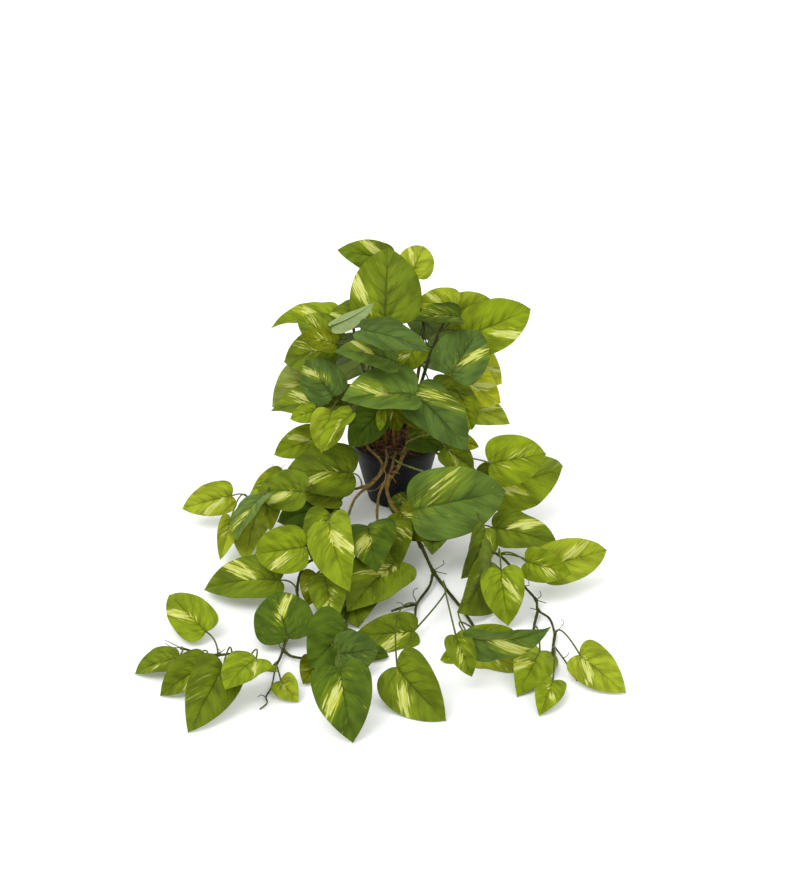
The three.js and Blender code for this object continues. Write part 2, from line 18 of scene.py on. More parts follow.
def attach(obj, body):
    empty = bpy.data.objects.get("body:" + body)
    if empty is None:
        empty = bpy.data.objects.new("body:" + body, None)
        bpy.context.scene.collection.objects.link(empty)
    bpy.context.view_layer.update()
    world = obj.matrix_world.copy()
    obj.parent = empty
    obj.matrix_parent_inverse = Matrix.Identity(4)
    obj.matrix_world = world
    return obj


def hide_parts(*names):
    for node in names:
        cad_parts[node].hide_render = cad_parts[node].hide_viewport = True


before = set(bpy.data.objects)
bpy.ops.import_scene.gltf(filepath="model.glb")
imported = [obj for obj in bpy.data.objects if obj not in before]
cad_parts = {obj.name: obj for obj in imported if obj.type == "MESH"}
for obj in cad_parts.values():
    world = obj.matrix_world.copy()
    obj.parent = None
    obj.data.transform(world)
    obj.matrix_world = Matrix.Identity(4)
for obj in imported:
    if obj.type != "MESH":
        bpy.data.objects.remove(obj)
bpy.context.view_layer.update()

LOG = logging.getLogger("pothos")
MM = 0.001
MERGE_DISTANCE = 1e-6  # points nearer than this are one, in metres

# The viewpoint that the places are given from: a pixel of the 800 x 880 picture is a line of sight.
EYE = Vector((5.7, -2207.0, 1174.0))
EYE_PITCH = math.radians(26.2)
FOCAL_PIXELS = 1750.0
PICTURE = (800.0, 880.0)

# Pot and growing medium
POT_HEIGHT = 90.0
POT_BASE_RADIUS = 39.0
POT_LIP_RADIUS = 62.5
POT_WALL = 1.8
LIP_HEIGHT = 10.0
LIP_STEP = 2.4  # how far the lip stands out past the wall
WALL_RADIUS = 59.1  # the wall's outer radius where the lip begins
SOIL_TOP = 82.0
ROOT_DEPTH = 28.0  # how deep a stem's foot stands in the medium
FOOT_RISE = 4  # how far over the medium a foot goes on straight

# Stems
STEM_RADIUS = 1.9
WOODY_RADIUS = 2.6
PETIOLE_RADIUS = 1.05
ROOTLET_RADIUS = 0.75
FINE_TWIG_SHARE = 0.8  # the finest twigs' radius, in rootlet radii
RUNNER_RADIUS = 1.5
TWIG_RADIUS = 0.95
KNOT_SWELL = 1.45  # a knot's radius, in stem radii

# Blades
GROUND_CLEARANCE = 1.0  # a blade that would dip under the surface lies along it at this height
PLAIN = (0.0, 0.0, 0.0)  # no cream

# The stems behind the crown
BACK_EYE = Vector((0.0, 1500.0, 1500.0))
BACK_LEAVES = 5
BACK_LEAF_WIDTH = 0.78
BACK_FOOT = (16, 26)
BACK_SWING = 0.6  # the least angle between a leaf and straight back, in radians
GOLDEN_SHARE = 0.618

Number = Union[float, bpy.types.NodeSocket]
Colour = Union[tuple[float, float, float], bpy.types.NodeSocket]


def sight(u: float, v: float) -> Vector:
    """Gives the line of sight through a pixel.

    Args:
        u: The pixel's column.
        v: The pixel's row.

    Returns:
        The line's direction.
    """
    right = (u - PICTURE[0] / 2) / FOCAL_PIXELS
    down = (v - PICTURE[1] / 2) / FOCAL_PIXELS
    sin, cos = math.sin(EYE_PITCH), math.cos(EYE_PITCH)
    return Vector((right, cos - down * sin, -sin - down * cos))


def back(u: float, v: float, y: float) -> Vector:
    """Gives the point seen at a pixel at depth y.

    Args:
        u: The pixel's column.
        v: The pixel's row.
        y: The point's depth.

    Returns:
        The point.
    """
    line = sight(u, v)
    return EYE + line * ((y - EYE.y) / line.y)


def over(u: float, v: float, z: float) -> Vector:
    """Gives the point seen at a pixel at height z.

    Args:
        u: The pixel's column.
        v: The pixel's row.
        z: The point's height over the surface.

    Returns:
        The point.
    """
    line = sight(u, v)
    return EYE + line * ((z - EYE.z) / line.z)


def at(x: float, y: float, z: float) -> Vector:
    """Gives the point with these coordinates."""
    return Vector((x, y, z))


def foot(x: float, y: float) -> tuple[Vector, Vector]:
    """Gives the stretch of a stem that stands straight in the medium, as its two ends."""
    return at(x, y, SOIL_TOP - ROOT_DEPTH), at(x, y, SOIL_TOP + FOOT_RISE)


class Trait(IntEnum):
    """What a leaf or a loose strand differs in, each with the number that its chance is drawn by."""

    ARCH = 1
    FOLD = 2
    CURL = 3
    WAVE = 4
    PHASE = 5
    BACK_LENGTH = 6
    BACK_DROOP = 7
    BACK_CREAM = 8
    PRINT = 9
    STRAND_SWING = 21
    STRAND_REACH = 22
    STRAND_HEADING = 23
    STRAND_LENGTH = 24
    STRAND_BOW = 25
    STRAND_LIFT = 26
    STRAND_RADIUS = 27


def chance(number: int, trait: Trait) -> float:
    """Gives a share from 0 to 1 that is always the same for one leaf or strand and one trait.

    Args:
        number: The leaf's or strand's number.
        trait: What the share is for.

    Returns:
        The share.
    """
    wild = math.sin(number * 12.9898 + trait * 78.233) * 43758.5453
    return wild - math.floor(wild)


def smooth_route(points: Sequence[Vector], steps: int) -> list[Vector]:
    """Runs a centripetal spline through a route's points.

    Args:
        points: The route's points.
        steps: The sections between one point and the next.

    Returns:
        The spline's points, with every route point among them.
    """
    first, last = points[0] * 2 - points[1], points[-1] * 2 - points[-2]
    padded = [first, *points, last]
    found = []
    for p0, p1, p2, p3 in zip(padded, padded[1:], padded[2:], padded[3:]):
        d0, d1, d2 = ((q - p).length ** 0.5 for p, q in ((p0, p1), (p1, p2), (p2, p3)))
        t1 = ((p1 - p0) / d0 - (p2 - p0) / (d0 + d1) + (p2 - p1) / d1) * d1
        t2 = ((p2 - p1) / d1 - (p3 - p1) / (d1 + d2) + (p3 - p2) / d2) * d1
        for i in range(steps):
            t = i / steps
            cubic = (p1 - p2) * 2 + t1 + t2
            square = (p2 - p1) * 3 - t1 * 2 - t2
            found.append(p1 + t1 * t + square * t * t + cubic * t**3)
    return [*found, points[-1].copy()]


class Tone(Enum):
    """The greens that the blades are printed in. They were matched leaf by leaf to how bright each leaf
    looked, so part of them is painted light: the gold tone is a painted-light lift for leaves turned away
    from the light, the deep and dark tones also carry painted shade for leaves deep in the crown, and the
    teal tone's blue is a painted sheen.
    """

    # Painted light: brighter than the leaves' own green, for leaves turned away from the light.
    GOLD = (0.42, 0.46, 0.02)
    LIME = (0.255, 0.31, 0.016)
    BRIGHT = (0.175, 0.235, 0.006)
    MID = (0.11, 0.155, 0.006)
    OLIVE = (0.11, 0.13, 0.002)
    # Teal green with a painted sheen: its blue stands for the bluish sheen where light grazes the cloth.
    SHEEN_TEAL = (0.068, 0.115, 0.018)
    JADE = (0.092, 0.152, 0.02)
    # Partly the leaves' own dark green and partly painted shade, for leaves that sit in shade.
    DEEP = (0.062, 0.105, 0.005)
    DARK = (0.036, 0.062, 0.003)
    PALE = (0.22, 0.28, 0.13)
    CREAMY = (0.28, 0.34, 0.07)


class StemKind(Enum):
    """The kinds of rod that a leafy stem is made of, each with its place among the stem's materials."""

    WOODY = 0
    VINE = 1
    PETIOLE = 2
    ROOTLET = 3


@dataclass(frozen=True)
class Leaf:
    """One leaf's plan.

    Attributes:
        foot: Where the blade meets its petiole.
        tip: The blade's tip.
        turn: How far the blade turns about its length, in degrees.
        wide: Its width, in lengths.
        joint: The number of the joint that it hangs on.
        tone: Its green.
        cream: How much cream it has, and where that is: across the blade from -1 to 1, and along its length.
    """

    foot: Vector
    tip: Vector
    turn: float
    wide: float
    joint: int
    tone: Tone
    cream: tuple[float, float, float] = PLAIN


@dataclass(frozen=True)
class Route:
    """One stem's run.

    Attributes:
        points: Its joints, from foot to end.
        radius: Its radius.
        knots: The joints that are swollen.
    """

    points: tuple[Vector, ...]
    radius: float = STEM_RADIUS
    knots: tuple[int, ...] = ()


@dataclass(frozen=True)
class Plan:
    """One leafy stem's plan. Its joints are its routes' points, counted on from route to route.

    Attributes:
        name: The name of its node.
        routes: Its stems.
        leaves: Its leaves.
        rootlets: Its rootlets, each as its joint and its end.
        twigs: Its finest bare twigs and aerial roots, each with the points that it runs through.
        runners: Its thin olive stems that have no knots.
        viewer: The point that its leaves face.
    """

    name: str
    routes: tuple[Route, ...]
    leaves: tuple[Leaf, ...]
    rootlets: tuple[tuple[int, Vector], ...] = ()
    twigs: tuple[tuple[Vector, ...], ...] = ()
    runners: tuple[tuple[Vector, ...], ...] = ()
    viewer: Vector = field(default_factory=lambda: EYE)


PLANS = (
    Plan(
        "stem_crown_top",
        routes=(
            Route(
                (
                    *foot(4, 8), at(2, 8, 150), at(-2, 12, 220), at(-4, 18, 275), at(-6, 26, 318),
                ),
                radius=WOODY_RADIUS,
            ),
        ),
        leaves=(
            Leaf(back(389, 261, 48), back(337, 250, 36), 12, 0.62, 5, Tone.MID, (0.9, 0.45, 0.38)),
            Leaf(back(385, 318, -30), back(388, 247, 30), 0, 0.97, 3, Tone.MID, (0.8, -0.75, 0.38)),
            Leaf(back(412, 274, 40), back(423, 246, 92), 0, 0.86, 4, Tone.LIME, (1.0, -0.45, 0.5)),
        ),
    ),
    Plan(
        "stem_crown_upper_left",
        routes=(
            Route(
                (
                    *foot(-14, 6), at(-28, 2, 145), at(-44, 0, 195), at(-54, 2, 235), at(-60, 6, 268),
                ),
                radius=WOODY_RADIUS,
            ),
        ),
        leaves=(
            Leaf(back(334, 316, -10), back(271, 328, 0), 58, 0.53, 5, Tone.BRIGHT, (0.7, 0.3, 0.4)),
            Leaf(back(336, 341, -66), back(297, 319, -44), 20, 0.85, 4, Tone.MID, (0.4, 0.2, 0.6)),
            Leaf(back(365, 312, -6), back(326, 325, -33), 40, 0.75, 5, Tone.MID, (0.8, 0.2, 0.7)),
            Leaf(back(333, 326, -72), back(374, 303, -56), 150, 0.4, 4, Tone.PALE, PLAIN),
            Leaf(back(333, 348, -20), back(284, 362, -6), 30, 0.9, 3, Tone.MID, (0.5, 0.3, 0.5)),
            Leaf(back(335, 344, -78), back(299, 336, -76), 20, 0.7, 3, Tone.OLIVE, (0.3, 0.2, 0.4)),
        ),
    ),
    Plan(
        "stem_crown_left",
        routes=(
            Route(
                (
                    *foot(-26, -4), at(-40, -14, 112), at(-58, -26, 138), at(-72, -30, 165),
                    at(-80, -26, 190),
                ),
            ),
        ),
        leaves=(
            Leaf(back(320, 375, 8), back(272, 407, -24), 0, 0.95, 5, Tone.CREAMY, (0.4, 0.2, 0.5)),
            Leaf(back(333, 396, -86), back(306, 360, -44), 0, 0.9, 4, Tone.SHEEN_TEAL, (0.85, -0.15, 0.65)),
            Leaf(back(345, 405, -70), back(271, 411, -54), 55, 0.75, 3, Tone.MID, (0.5, 0.3, 0.6)),
            Leaf(back(315, 411, -102), back(290, 419, -109), 10, 0.8, 3, Tone.BRIGHT, (0.1, 0.3, 0.5)),
            Leaf(back(331, 412, -106), back(321, 452, -120), 0, 0.84, 3, Tone.LIME, (0.15, 0.3, 0.5)),
            Leaf(back(352, 414, -132), back(321, 454, -148), 60, 0.66, 3, Tone.BRIGHT, (0.9, -0.2, 0.5)),
            Leaf(back(318, 438, -34), back(274, 455, -44), 15, 0.7, 2, Tone.BRIGHT, (1.0, 0.35, 0.4)),
        ),
    ),
    Plan(
        "stem_crown_right",
        routes=(
            Route(
                (
                    *foot(16, 6), at(28, 6, 145), at(44, 4, 205), at(60, 6, 250), at(74, 10, 280),
                ),
                radius=WOODY_RADIUS,
            ),
        ),
        leaves=(
            Leaf(back(469, 335, -20), back(531, 309, 20), 0, 0.74, 4, Tone.BRIGHT, (0.95, 0.55, 0.5)),
            Leaf(back(449, 316, 12), back(492, 300, 30), 0, 0.8, 5, Tone.LIME, (0.3, 0.3, 0.5)),
            Leaf(back(456, 306, -4), back(415, 302, -12), 10, 0.8, 5, Tone.LIME, (1.0, 0.3, 0.6)),
            Leaf(back(459, 317, -40), back(414, 321, -48), 50, 0.75, 4, Tone.DARK, (0.2, 0.2, 0.5)),
            Leaf(back(451, 374, -96), back(480, 331, -40), -10, 0.95, 4, Tone.SHEEN_TEAL, (0.85, 0.4, 0.45)),
        ),
    ),
    Plan(
        "stem_crown_front",
        routes=(
            Route(
                (
                    *foot(-2, -16), at(-4, -26, 120), at(-8, -38, 160), at(-14, -46, 200),
                    at(-22, -48, 232),
                ),
            ),
        ),
        leaves=(
            Leaf(back(362, 330, -94), back(430, 352, -114), -55, 0.74, 5, Tone.SHEEN_TEAL, PLAIN),
            Leaf(back(394, 361, -88), back(335, 352, -98), 45, 0.68, 4, Tone.JADE, (0.8, 0.35, 0.6)),
            Leaf(back(418, 344, -54), back(399, 373, -66), 0, 0.85, 4, Tone.BRIGHT, (0.5, 0.3, 0.5)),
            Leaf(back(414, 394, -114), back(341, 400, -123), 45, 0.88, 3, Tone.JADE, (0.65, 0.2, 0.6)),
            Leaf(back(415, 395, -104), back(467, 451, -141), -26, 0.7, 3, Tone.SHEEN_TEAL, (0.45, -0.5, 0.22)),
            Leaf(back(378, 412, -88), back(349, 447, -106), 0, 0.8, 2, Tone.DEEP, PLAIN),
            Leaf(back(382, 412, -108), back(380, 431, -114), 0, 0.55, 2, Tone.BRIGHT, (0.1, 0.2, 0.5)),
            Leaf(back(392, 398, -44), back(398, 432, -58), 0, 0.75, 3, Tone.OLIVE, (0.3, 0.3, 0.5)),
        ),
    ),
    Plan(
        "stem_crown_lower_right",
        routes=(
            Route(
                (
                    *foot(24, -6), at(42, -12, 118), at(66, -16, 146), at(86, -14, 176), at(98, -8, 206),
                ),
            ),
        ),
        leaves=(
            Leaf(back(434, 386, -38), back(478, 402, -50), -30, 0.7, 3, Tone.MID, (0.1, 0.4, 0.5)),
            Leaf(back(455, 350, 8), back(502, 384, -6), 0, 0.8, 5, Tone.GOLD, (1.0, -0.1, 0.65)),
            Leaf(back(450, 372, -16), back(501, 403, -38), 0, 0.8, 3, Tone.GOLD, (0.85, -0.1, 0.5)),
            Leaf(back(452, 405, -28), back(510, 424, -36), -45, 0.8, 3, Tone.LIME, (0.9, -0.2, 0.55)),
            Leaf(back(463, 400, -70), back(472, 430, -82), 0, 0.8, 3, Tone.BRIGHT, (0.2, 0.3, 0.5)),
            Leaf(back(452, 438, -48), back(479, 447, -54), 0, 0.66, 2, Tone.GOLD, (0.4, 0.3, 0.5)),
            Leaf(back(446, 448, -116), back(474, 470, -128), 0, 0.85, 2, Tone.MID, (0.3, 0.3, 0.4)),
            Leaf(back(410, 408, -62), back(444, 428, -82), 0, 0.8, 2, Tone.OLIVE, PLAIN),
            Leaf(back(411, 439, -68), back(463, 447, -80), -45, 0.8, 2, Tone.DEEP, (0.2, -0.8, 0.5)),
        ),
    ),
    Plan(
        "stem_trailing_upper_left",
        routes=(
            Route(
                (
                    *foot(-42, -8), over(369, 449, 92), over(377, 456, 94), over(382, 463, 89),
                    over(381, 471, 77), over(373, 481, 67), over(362, 487, 62), over(335, 492, 56),
                    over(304, 490, 50), over(275, 492, 44), over(248, 498, 36),
                ),
                knots=(7, 8, 9, 10),
            ),
        ),
        twigs=(
            (over(281, 484, 50), over(277, 473, 56), over(272, 464, 60)),
            (over(277, 473, 56), over(281, 468, 58), over(285, 465, 58)),
            (over(362, 487, 63), over(369, 491, 65), over(377, 489, 69), over(383, 482, 77)),
            (over(352, 489, 61), over(349, 494, 63), over(344, 495, 63)),
        ),
        leaves=(
            Leaf(over(231, 496, 40), over(182, 509, 26), 15, 0.7, 11, Tone.LIME, (0.85, -0.45, 0.4)),
            Leaf(over(231, 519, 44), over(220, 560, 12), 0, 0.44, 11, Tone.LIME, (0.3, 0.3, 0.4)),
            Leaf(over(262, 497, 78), over(237, 541, 42), 60, 0.8, 10, Tone.JADE, (0.4, 0.1, 0.5)),
            Leaf(over(304, 492, 84), over(258, 491, 70), 15, 0.8, 9, Tone.MID, (1.0, -0.35, 0.45)),
            Leaf(over(264, 492, 68), over(271, 531, 34), 0, 0.7, 10, Tone.LIME, (0.1, 0.4, 0.4)),
            Leaf(over(284, 478, 52), over(249, 503, 30), 0, 0.76, 9, Tone.LIME, (0.25, 0.3, 0.5)),
            Leaf(over(259, 512, 32), over(246, 563, 3), 25, 0.62, 10, Tone.LIME, (0.1, 0.3, 0.5)),
            Leaf(over(352, 473, 84), over(284, 474, 74), 26, 0.84, 7, Tone.MID, (0.4, -0.35, 0.5)),
            Leaf(over(341, 500, 41), over(300, 495, 40), 30, 0.7, 8, Tone.LIME, (0.2, 0.4, 0.5)),
            Leaf(over(335, 505, 26), over(277, 522, 6), 20, 0.75, 8, Tone.DEEP, PLAIN),
        ),
    ),
    Plan(
        "stem_trailing_front_left",
        routes=(
            Route(
                (
                    *foot(-14, -32), over(387, 458, 96), over(384, 469, 91), over(373, 483, 81),
                    over(357, 496, 73), over(345, 522, 64), over(330, 543, 52), over(316, 557, 38),
                    over(304, 566, 28), over(297, 590, 17), over(299, 603, 13), over(290, 625, 9),
                    over(283, 650, 6), over(276, 664, 6), over(266, 668, 8), over(248, 659, 9),
                    over(232, 654, 9), over(218, 655, 9), over(200, 653, 8), over(181, 648, 6),
                ),
                knots=(8, 10, 11, 13, 14, 18, 20),
            ),
            Route(
                (
                    over(283, 650, 6), over(291, 656, 6), over(307, 659, 8),
                ),
            ),
            Route(
                (
                    over(276, 664, 6), over(271, 688, 3), over(266, 697, 3), over(267, 703, 3),
                    over(260, 709, 2),
                ),
                radius=TWIG_RADIUS,
            ),
        ),
        rootlets=((20, over(165, 640, 9)), (18, over(225, 649, 12))),
        twigs=(
            (over(218, 655, 9), over(220, 651, 12), over(217, 648, 13)),
            (over(181, 648, 6), over(172, 647, 8), over(164, 643, 8)),
            (over(283, 650, 7), over(279, 645, 10), over(280, 641, 12)),
            (over(384, 469, 92), over(386, 476, 92), over(384, 482, 88)),
            (over(380, 474, 89), over(377, 479, 89), over(372, 479, 90)),
            (over(266, 697, 3), over(261, 695, 5), over(258, 697, 5)),
        ),
        leaves=(
            Leaf(over(304, 547, 74), over(255, 554, 50), 0, 0.84, 8, Tone.BRIGHT, (0.85, -0.4, 0.4)),
            Leaf(over(279, 580, 26), over(204, 590, 8), 34, 0.68, 10, Tone.MID, (1.0, 0.45, 0.5)),
            Leaf(over(330, 515, 82), over(312, 562, 46), 0, 0.8, 6, Tone.MID, (0.3, 0.2, 0.4)),
            Leaf(over(329, 523, 96), over(350, 592, 54), 20, 0.57, 6, Tone.BRIGHT, (1.0, -0.4, 0.4)),
            Leaf(over(288, 638, 16), over(276, 592, 38), 0, 0.96, 13, Tone.DEEP, (1.0, 0.15, 0.6)),
            Leaf(over(205, 631, 15), over(169, 595, 30), 6, 0.66, 18, Tone.BRIGHT, (0.9, -0.35, 0.5)),
            Leaf(over(178, 659, 12), over(135, 674, 2), 45, 0.8, 20, Tone.MID, (0.3, -0.3, 0.5)),
            Leaf(over(207, 664, 20), over(160, 696, 2), 20, 0.7, 19, Tone.MID, (0.4, -0.35, 0.5)),
            Leaf(over(223, 667, 34), over(188, 733, 2), 0, 0.62, 17, Tone.MID, (0.1, 0.5, 0.5)),
            Leaf(over(256, 659, 44), over(225, 690, 34), 36, 0.9, 16, Tone.BRIGHT, (0.75, -0.45, 0.3)),
            Leaf(over(275, 671, 24), over(245, 675, 22), 72, 0.75, 15, Tone.BRIGHT, (0.4, 0.2, 0.5)),
            Leaf(over(281, 681, 12), over(298, 702, 2), 0, 0.85, 14, Tone.LIME, (0.45, 0.2, 0.4)),
            Leaf(over(316, 663, 10), over(303, 684, 4), 0, 0.95, 23, Tone.OLIVE, (0.2, 0.3, 0.5)),
        ),
    ),
    Plan(
        "stem_trailing_front_middle",
        routes=(
            Route(
                (
                    *foot(0, -38), over(394, 459, 96), over(391, 470, 88), over(380, 492, 72),
                    over(377, 512, 56), over(378, 530, 42), over(372, 555, 30), over(360, 580, 22),
                    over(350, 605, 16), over(345, 630, 12), over(343, 655, 12),
                ),
                knots=(6, 7, 8),
            ),
        ),
        twigs=(
            (over(391, 469, 90), over(395, 466, 94), over(400, 467, 93)),
            (over(391, 472, 88), over(396, 472, 91), over(400, 474, 89)),
            (over(389, 475, 86), over(393, 478, 88), over(396, 483, 84)),
            (over(387, 478, 83), over(388, 483, 82), over(386, 488, 78)),
            (over(378, 520, 50), over(382, 523, 52), over(386, 522, 53)),
        ),
        leaves=(
            Leaf(over(383, 527, 38), over(396, 574, 22), 0, 0.76, 6, Tone.MID, (0.4, -0.6, 0.4)),
            Leaf(over(368, 526, 62), over(377, 573, 50), 0, 0.7, 6, Tone.DEEP, (0.85, 0.25, 0.5)),
            Leaf(over(394, 563, 38), over(347, 612, 20), 20, 0.72, 7, Tone.MID, (0.75, 0.1, 0.3)),
            Leaf(over(316, 574, 38), over(308, 606, 14), 0, 0.8, 8, Tone.OLIVE, (0.6, 0.3, 0.5)),
            Leaf(over(326, 579, 40), over(333, 627, 16), 0, 0.6, 8, Tone.MID, (0.45, 0.15, 0.6)),
            Leaf(over(352, 588, 14), over(358, 628, 3), 0, 0.9, 9, Tone.MID, (0.3, 0.2, 0.4)),
            Leaf(over(347, 628, 40), over(309, 668, 20), 0, 1.08, 10, Tone.DEEP, PLAIN),
            Leaf(over(337, 654, 34), over(379, 648, 30), 10, 1, 10, Tone.SHEEN_TEAL, (0.1, 0.3, 0.5)),
            Leaf(over(339, 669, 50), over(353, 743, 2), 0, 0.75, 11, Tone.DEEP, (0.95, 0.4, 0.45)),
            Leaf(over(366, 652, 6), over(389, 657, 3), -30, 0.8, 11, Tone.DEEP, PLAIN),
        ),
    ),
    Plan(
        "stem_trailing_front_right",
        routes=(
            Route(
                (
                    *foot(16, -32), over(402, 458, 96), over(398, 468, 88), over(387, 485, 64),
                    over(391, 503, 46), over(405, 522, 34), over(421, 546, 22), over(433, 571, 12),
                    over(446, 589, 7), over(462, 609, 9), over(476, 630, 7),
                ),
                radius=WOODY_RADIUS,
                knots=(4, 7, 8),
            ),
            Route(
                (
                    over(433, 571, 12), over(430, 585, 8), over(417, 604, 6), over(415, 617, 8),
                ),
            ),
            Route(
                (
                    over(417, 604, 6), over(404, 607, 8), over(392, 611, 14),
                ),
            ),
        ),
        rootlets=((8, over(441, 566, 17)), (8, over(447, 574, 14)), (14, over(413, 594, 9))),
        twigs=(
            (over(441, 566, 17), over(444, 564, 18), over(443, 560, 19)),
            (over(413, 594, 9), over(414, 590, 12), over(418, 588, 12)),
            (over(404, 607, 8), over(401, 603, 11), over(396, 603, 11)),
            (over(421, 546, 22), over(428, 545, 26), over(432, 541, 28)),
        ),
        runners=(
            (
                over(399, 456, 90), back(404, 450, -64), back(408, 442, -86), back(418, 437, -94),
                back(432, 434, -98), back(446, 437, -98),
            ),
            (
                over(391, 457, 93), over(400, 463, 97), over(413, 468, 98), over(428, 473, 96),
                over(440, 478, 92),
            ),
        ),
        leaves=(
            Leaf(over(400, 512, 47), over(429, 542, 30), 0, 0.82, 6, Tone.OLIVE, (0.5, -0.4, 0.4)),
            Leaf(over(419, 509, 20), over(388, 502, 14), 0, 0.75, 5, Tone.DEEP, (0.2, 0.3, 0.5)),
            Leaf(over(414, 631, 13), over(353, 636, 18), 0, 0.64, 9, Tone.MID, (1.0, -0.45, 0.4)),
            Leaf(over(397, 667, 36), over(446, 721, 2), 15, 0.8, 14, Tone.MID, (0.85, 0.45, 0.4)),
            Leaf(over(456, 636, 60), over(472, 677, 22), 0, 0.66, 9, Tone.MID, (0.35, 0.2, 0.5)),
            Leaf(over(466, 652, 7), over(440, 660, 3), 0, 0.8, 11, Tone.BRIGHT, (0.1, 0.3, 0.5)),
            Leaf(over(468, 638, 58), over(551, 627, 60), 55, 0.6, 11, Tone.JADE, (1.0, 0.35, 0.5)),
            Leaf(over(470, 637, 10), over(515, 631, 8), 0, 0.46, 10, Tone.BRIGHT, (0.1, 0.3, 0.5)),
            Leaf(over(471, 650, 15), over(530, 668, 5), 20, 0.58, 11, Tone.LIME, (0.35, 0.2, 0.5)),
        ),
    ),
    Plan(
        "stem_trailing_right",
        routes=(
            Route(
                (
                    *foot(32, -20), over(430, 448, 95), over(440, 456, 88), over(447, 468, 86),
                    over(458, 490, 82), over(468, 514, 70), over(476, 536, 56), over(487, 550, 46),
                    over(499, 555, 42), over(512, 568, 32), over(524, 586, 20), over(536, 600, 11),
                    over(538, 610, 8), over(549, 618, 6), over(555, 634, 5),
                ),
                knots=(5, 7, 8, 9, 12, 13, 15),
            ),
            Route(
                (
                    over(538, 610, 8), over(534, 627, 6), over(533, 640, 8),
                ),
            ),
            Route(
                (
                    over(555, 634, 5), over(553, 648, 5), over(552, 670, 6),
                ),
            ),
            Route(
                (
                    over(554, 646, 5), over(563, 658, 4), over(572, 672, 3), over(577, 681, 2),
                ),
                radius=TWIG_RADIUS,
            ),
        ),
        rootlets=((12, over(546, 603, 14)), (13, over(530, 608, 10)), (15, over(562, 626, 8))),
        twigs=(
            (over(536, 600, 11), over(541, 596, 14), over(540, 591, 16)),
            (over(524, 586, 20), over(529, 585, 22), over(528, 580, 25)),
            (over(562, 626, 8), over(564, 622, 10), over(561, 619, 11)),
            (over(563, 658, 4), over(567, 656, 6), over(569, 652, 8)),
        ),
        leaves=(
            Leaf(over(494, 483, 75), over(563, 466, 74), 33, 0.78, 5, Tone.BRIGHT, (0.85, 0.1, 0.12)),
            Leaf(over(491, 463, 116), over(546, 454, 110), 0, 0.8, 4, Tone.BRIGHT, (0.3, -0.2, 0.5)),
            Leaf(over(476, 471, 68), over(498, 507, 40), 0, 0.78, 4, Tone.MID, (0.4, 0.3, 0.3)),
            Leaf(over(416, 509, 84), over(506, 491, 88), 0, 0.74, 5, Tone.JADE, (0.48, -0.45, 0.3)),
            Leaf(over(436, 515, 68), over(432, 555, 38), 0, 0.8, 6, Tone.DEEP, (0.1, 0.3, 0.5)),
            Leaf(over(494, 528, 44), over(559, 548, 28), -40, 0.72, 7, Tone.MID, (1.0, -0.45, 0.45)),
            Leaf(over(527, 562, 46), over(572, 574, 44), 0, 0.72, 9, Tone.BRIGHT, (0.45, 0.15, 0.5)),
            Leaf(over(543, 567, 36), over(607, 550, 42), 0, 0.62, 9, Tone.LIME, (0.75, -0.35, 0.5)),
            Leaf(over(485, 529, 66), over(461, 579, 12), -50, 0.78, 6, Tone.MID, (0.6, -0.6, 0.3)),
            Leaf(over(491, 562, 42), over(457, 613, 25), -45, 0.78, 8, Tone.MID, (0.1, 0.3, 0.5)),
            Leaf(over(501, 571, 56), over(508, 626, 5), 0, 0.78, 9, Tone.BRIGHT, (0.95, -0.4, 0.4)),
            Leaf(over(540, 651, 9), over(517, 697, 1), 0, 0.57, 17, Tone.BRIGHT, (0.6, 0.6, 0.6)),
            Leaf(over(553, 681, 15), over(539, 716, 2), 0, 0.62, 20, Tone.BRIGHT, (0.3, -0.3, 0.5)),
            Leaf(over(580, 655, 24), over(626, 693, 3), 0, 0.69, 15, Tone.LIME, (0.85, 0.35, 0.3)),
        ),
    ),
)


def back_plan(name: str, side: int) -> Plan:
    """Plans a stem behind the crown, whose leaves swing round its outer side.

    Args:
        name: The name of its node.
        side: -1 on the left and 1 on the right.

    Returns:
        The plan.
    """
    tones = (Tone.MID, Tone.BRIGHT, Tone.SHEEN_TEAL, Tone.OLIVE, Tone.MID)
    leaves = []
    for i in range(BACK_LEAVES):
        share = i / (BACK_LEAVES - 1)
        swing = side * (BACK_SWING + (i * GOLDEN_SHARE) % 1)
        outward = at(math.sin(swing), math.cos(swing), 0)
        start = at(0, 20, 108 + 152 * share) + outward * (62 - 24 * share)
        length = 76 + 22 * chance(i + 10 * side, Trait.BACK_LENGTH)
        droop = 0.5 + 0.5 * chance(i + 10 * side, Trait.BACK_DROOP)
        end = start + outward * (length * math.cos(droop))
        end.z -= length * math.sin(droop)
        amount = 0.35 + 0.6 * chance(i + 10 * side, Trait.BACK_CREAM)
        cream = (amount, 0.45 if i % 2 else -0.45, 0.35 + 0.3 * chance(i, Trait.PRINT))
        tone = tones[(i + side) % len(tones)]
        leaves.append(Leaf(start, end, 0, BACK_LEAF_WIDTH, 2 + round(3 * share), tone, cream))
    rise = (at(24 * side, 34, 130), at(34 * side, 46, 190), at(38 * side, 50, 240), at(30 * side, 46, 290))
    route = Route((*foot(BACK_FOOT[0] * side, BACK_FOOT[1]), *rise), radius=WOODY_RADIUS)
    return Plan(name, (route,), tuple(leaves), viewer=BACK_EYE)


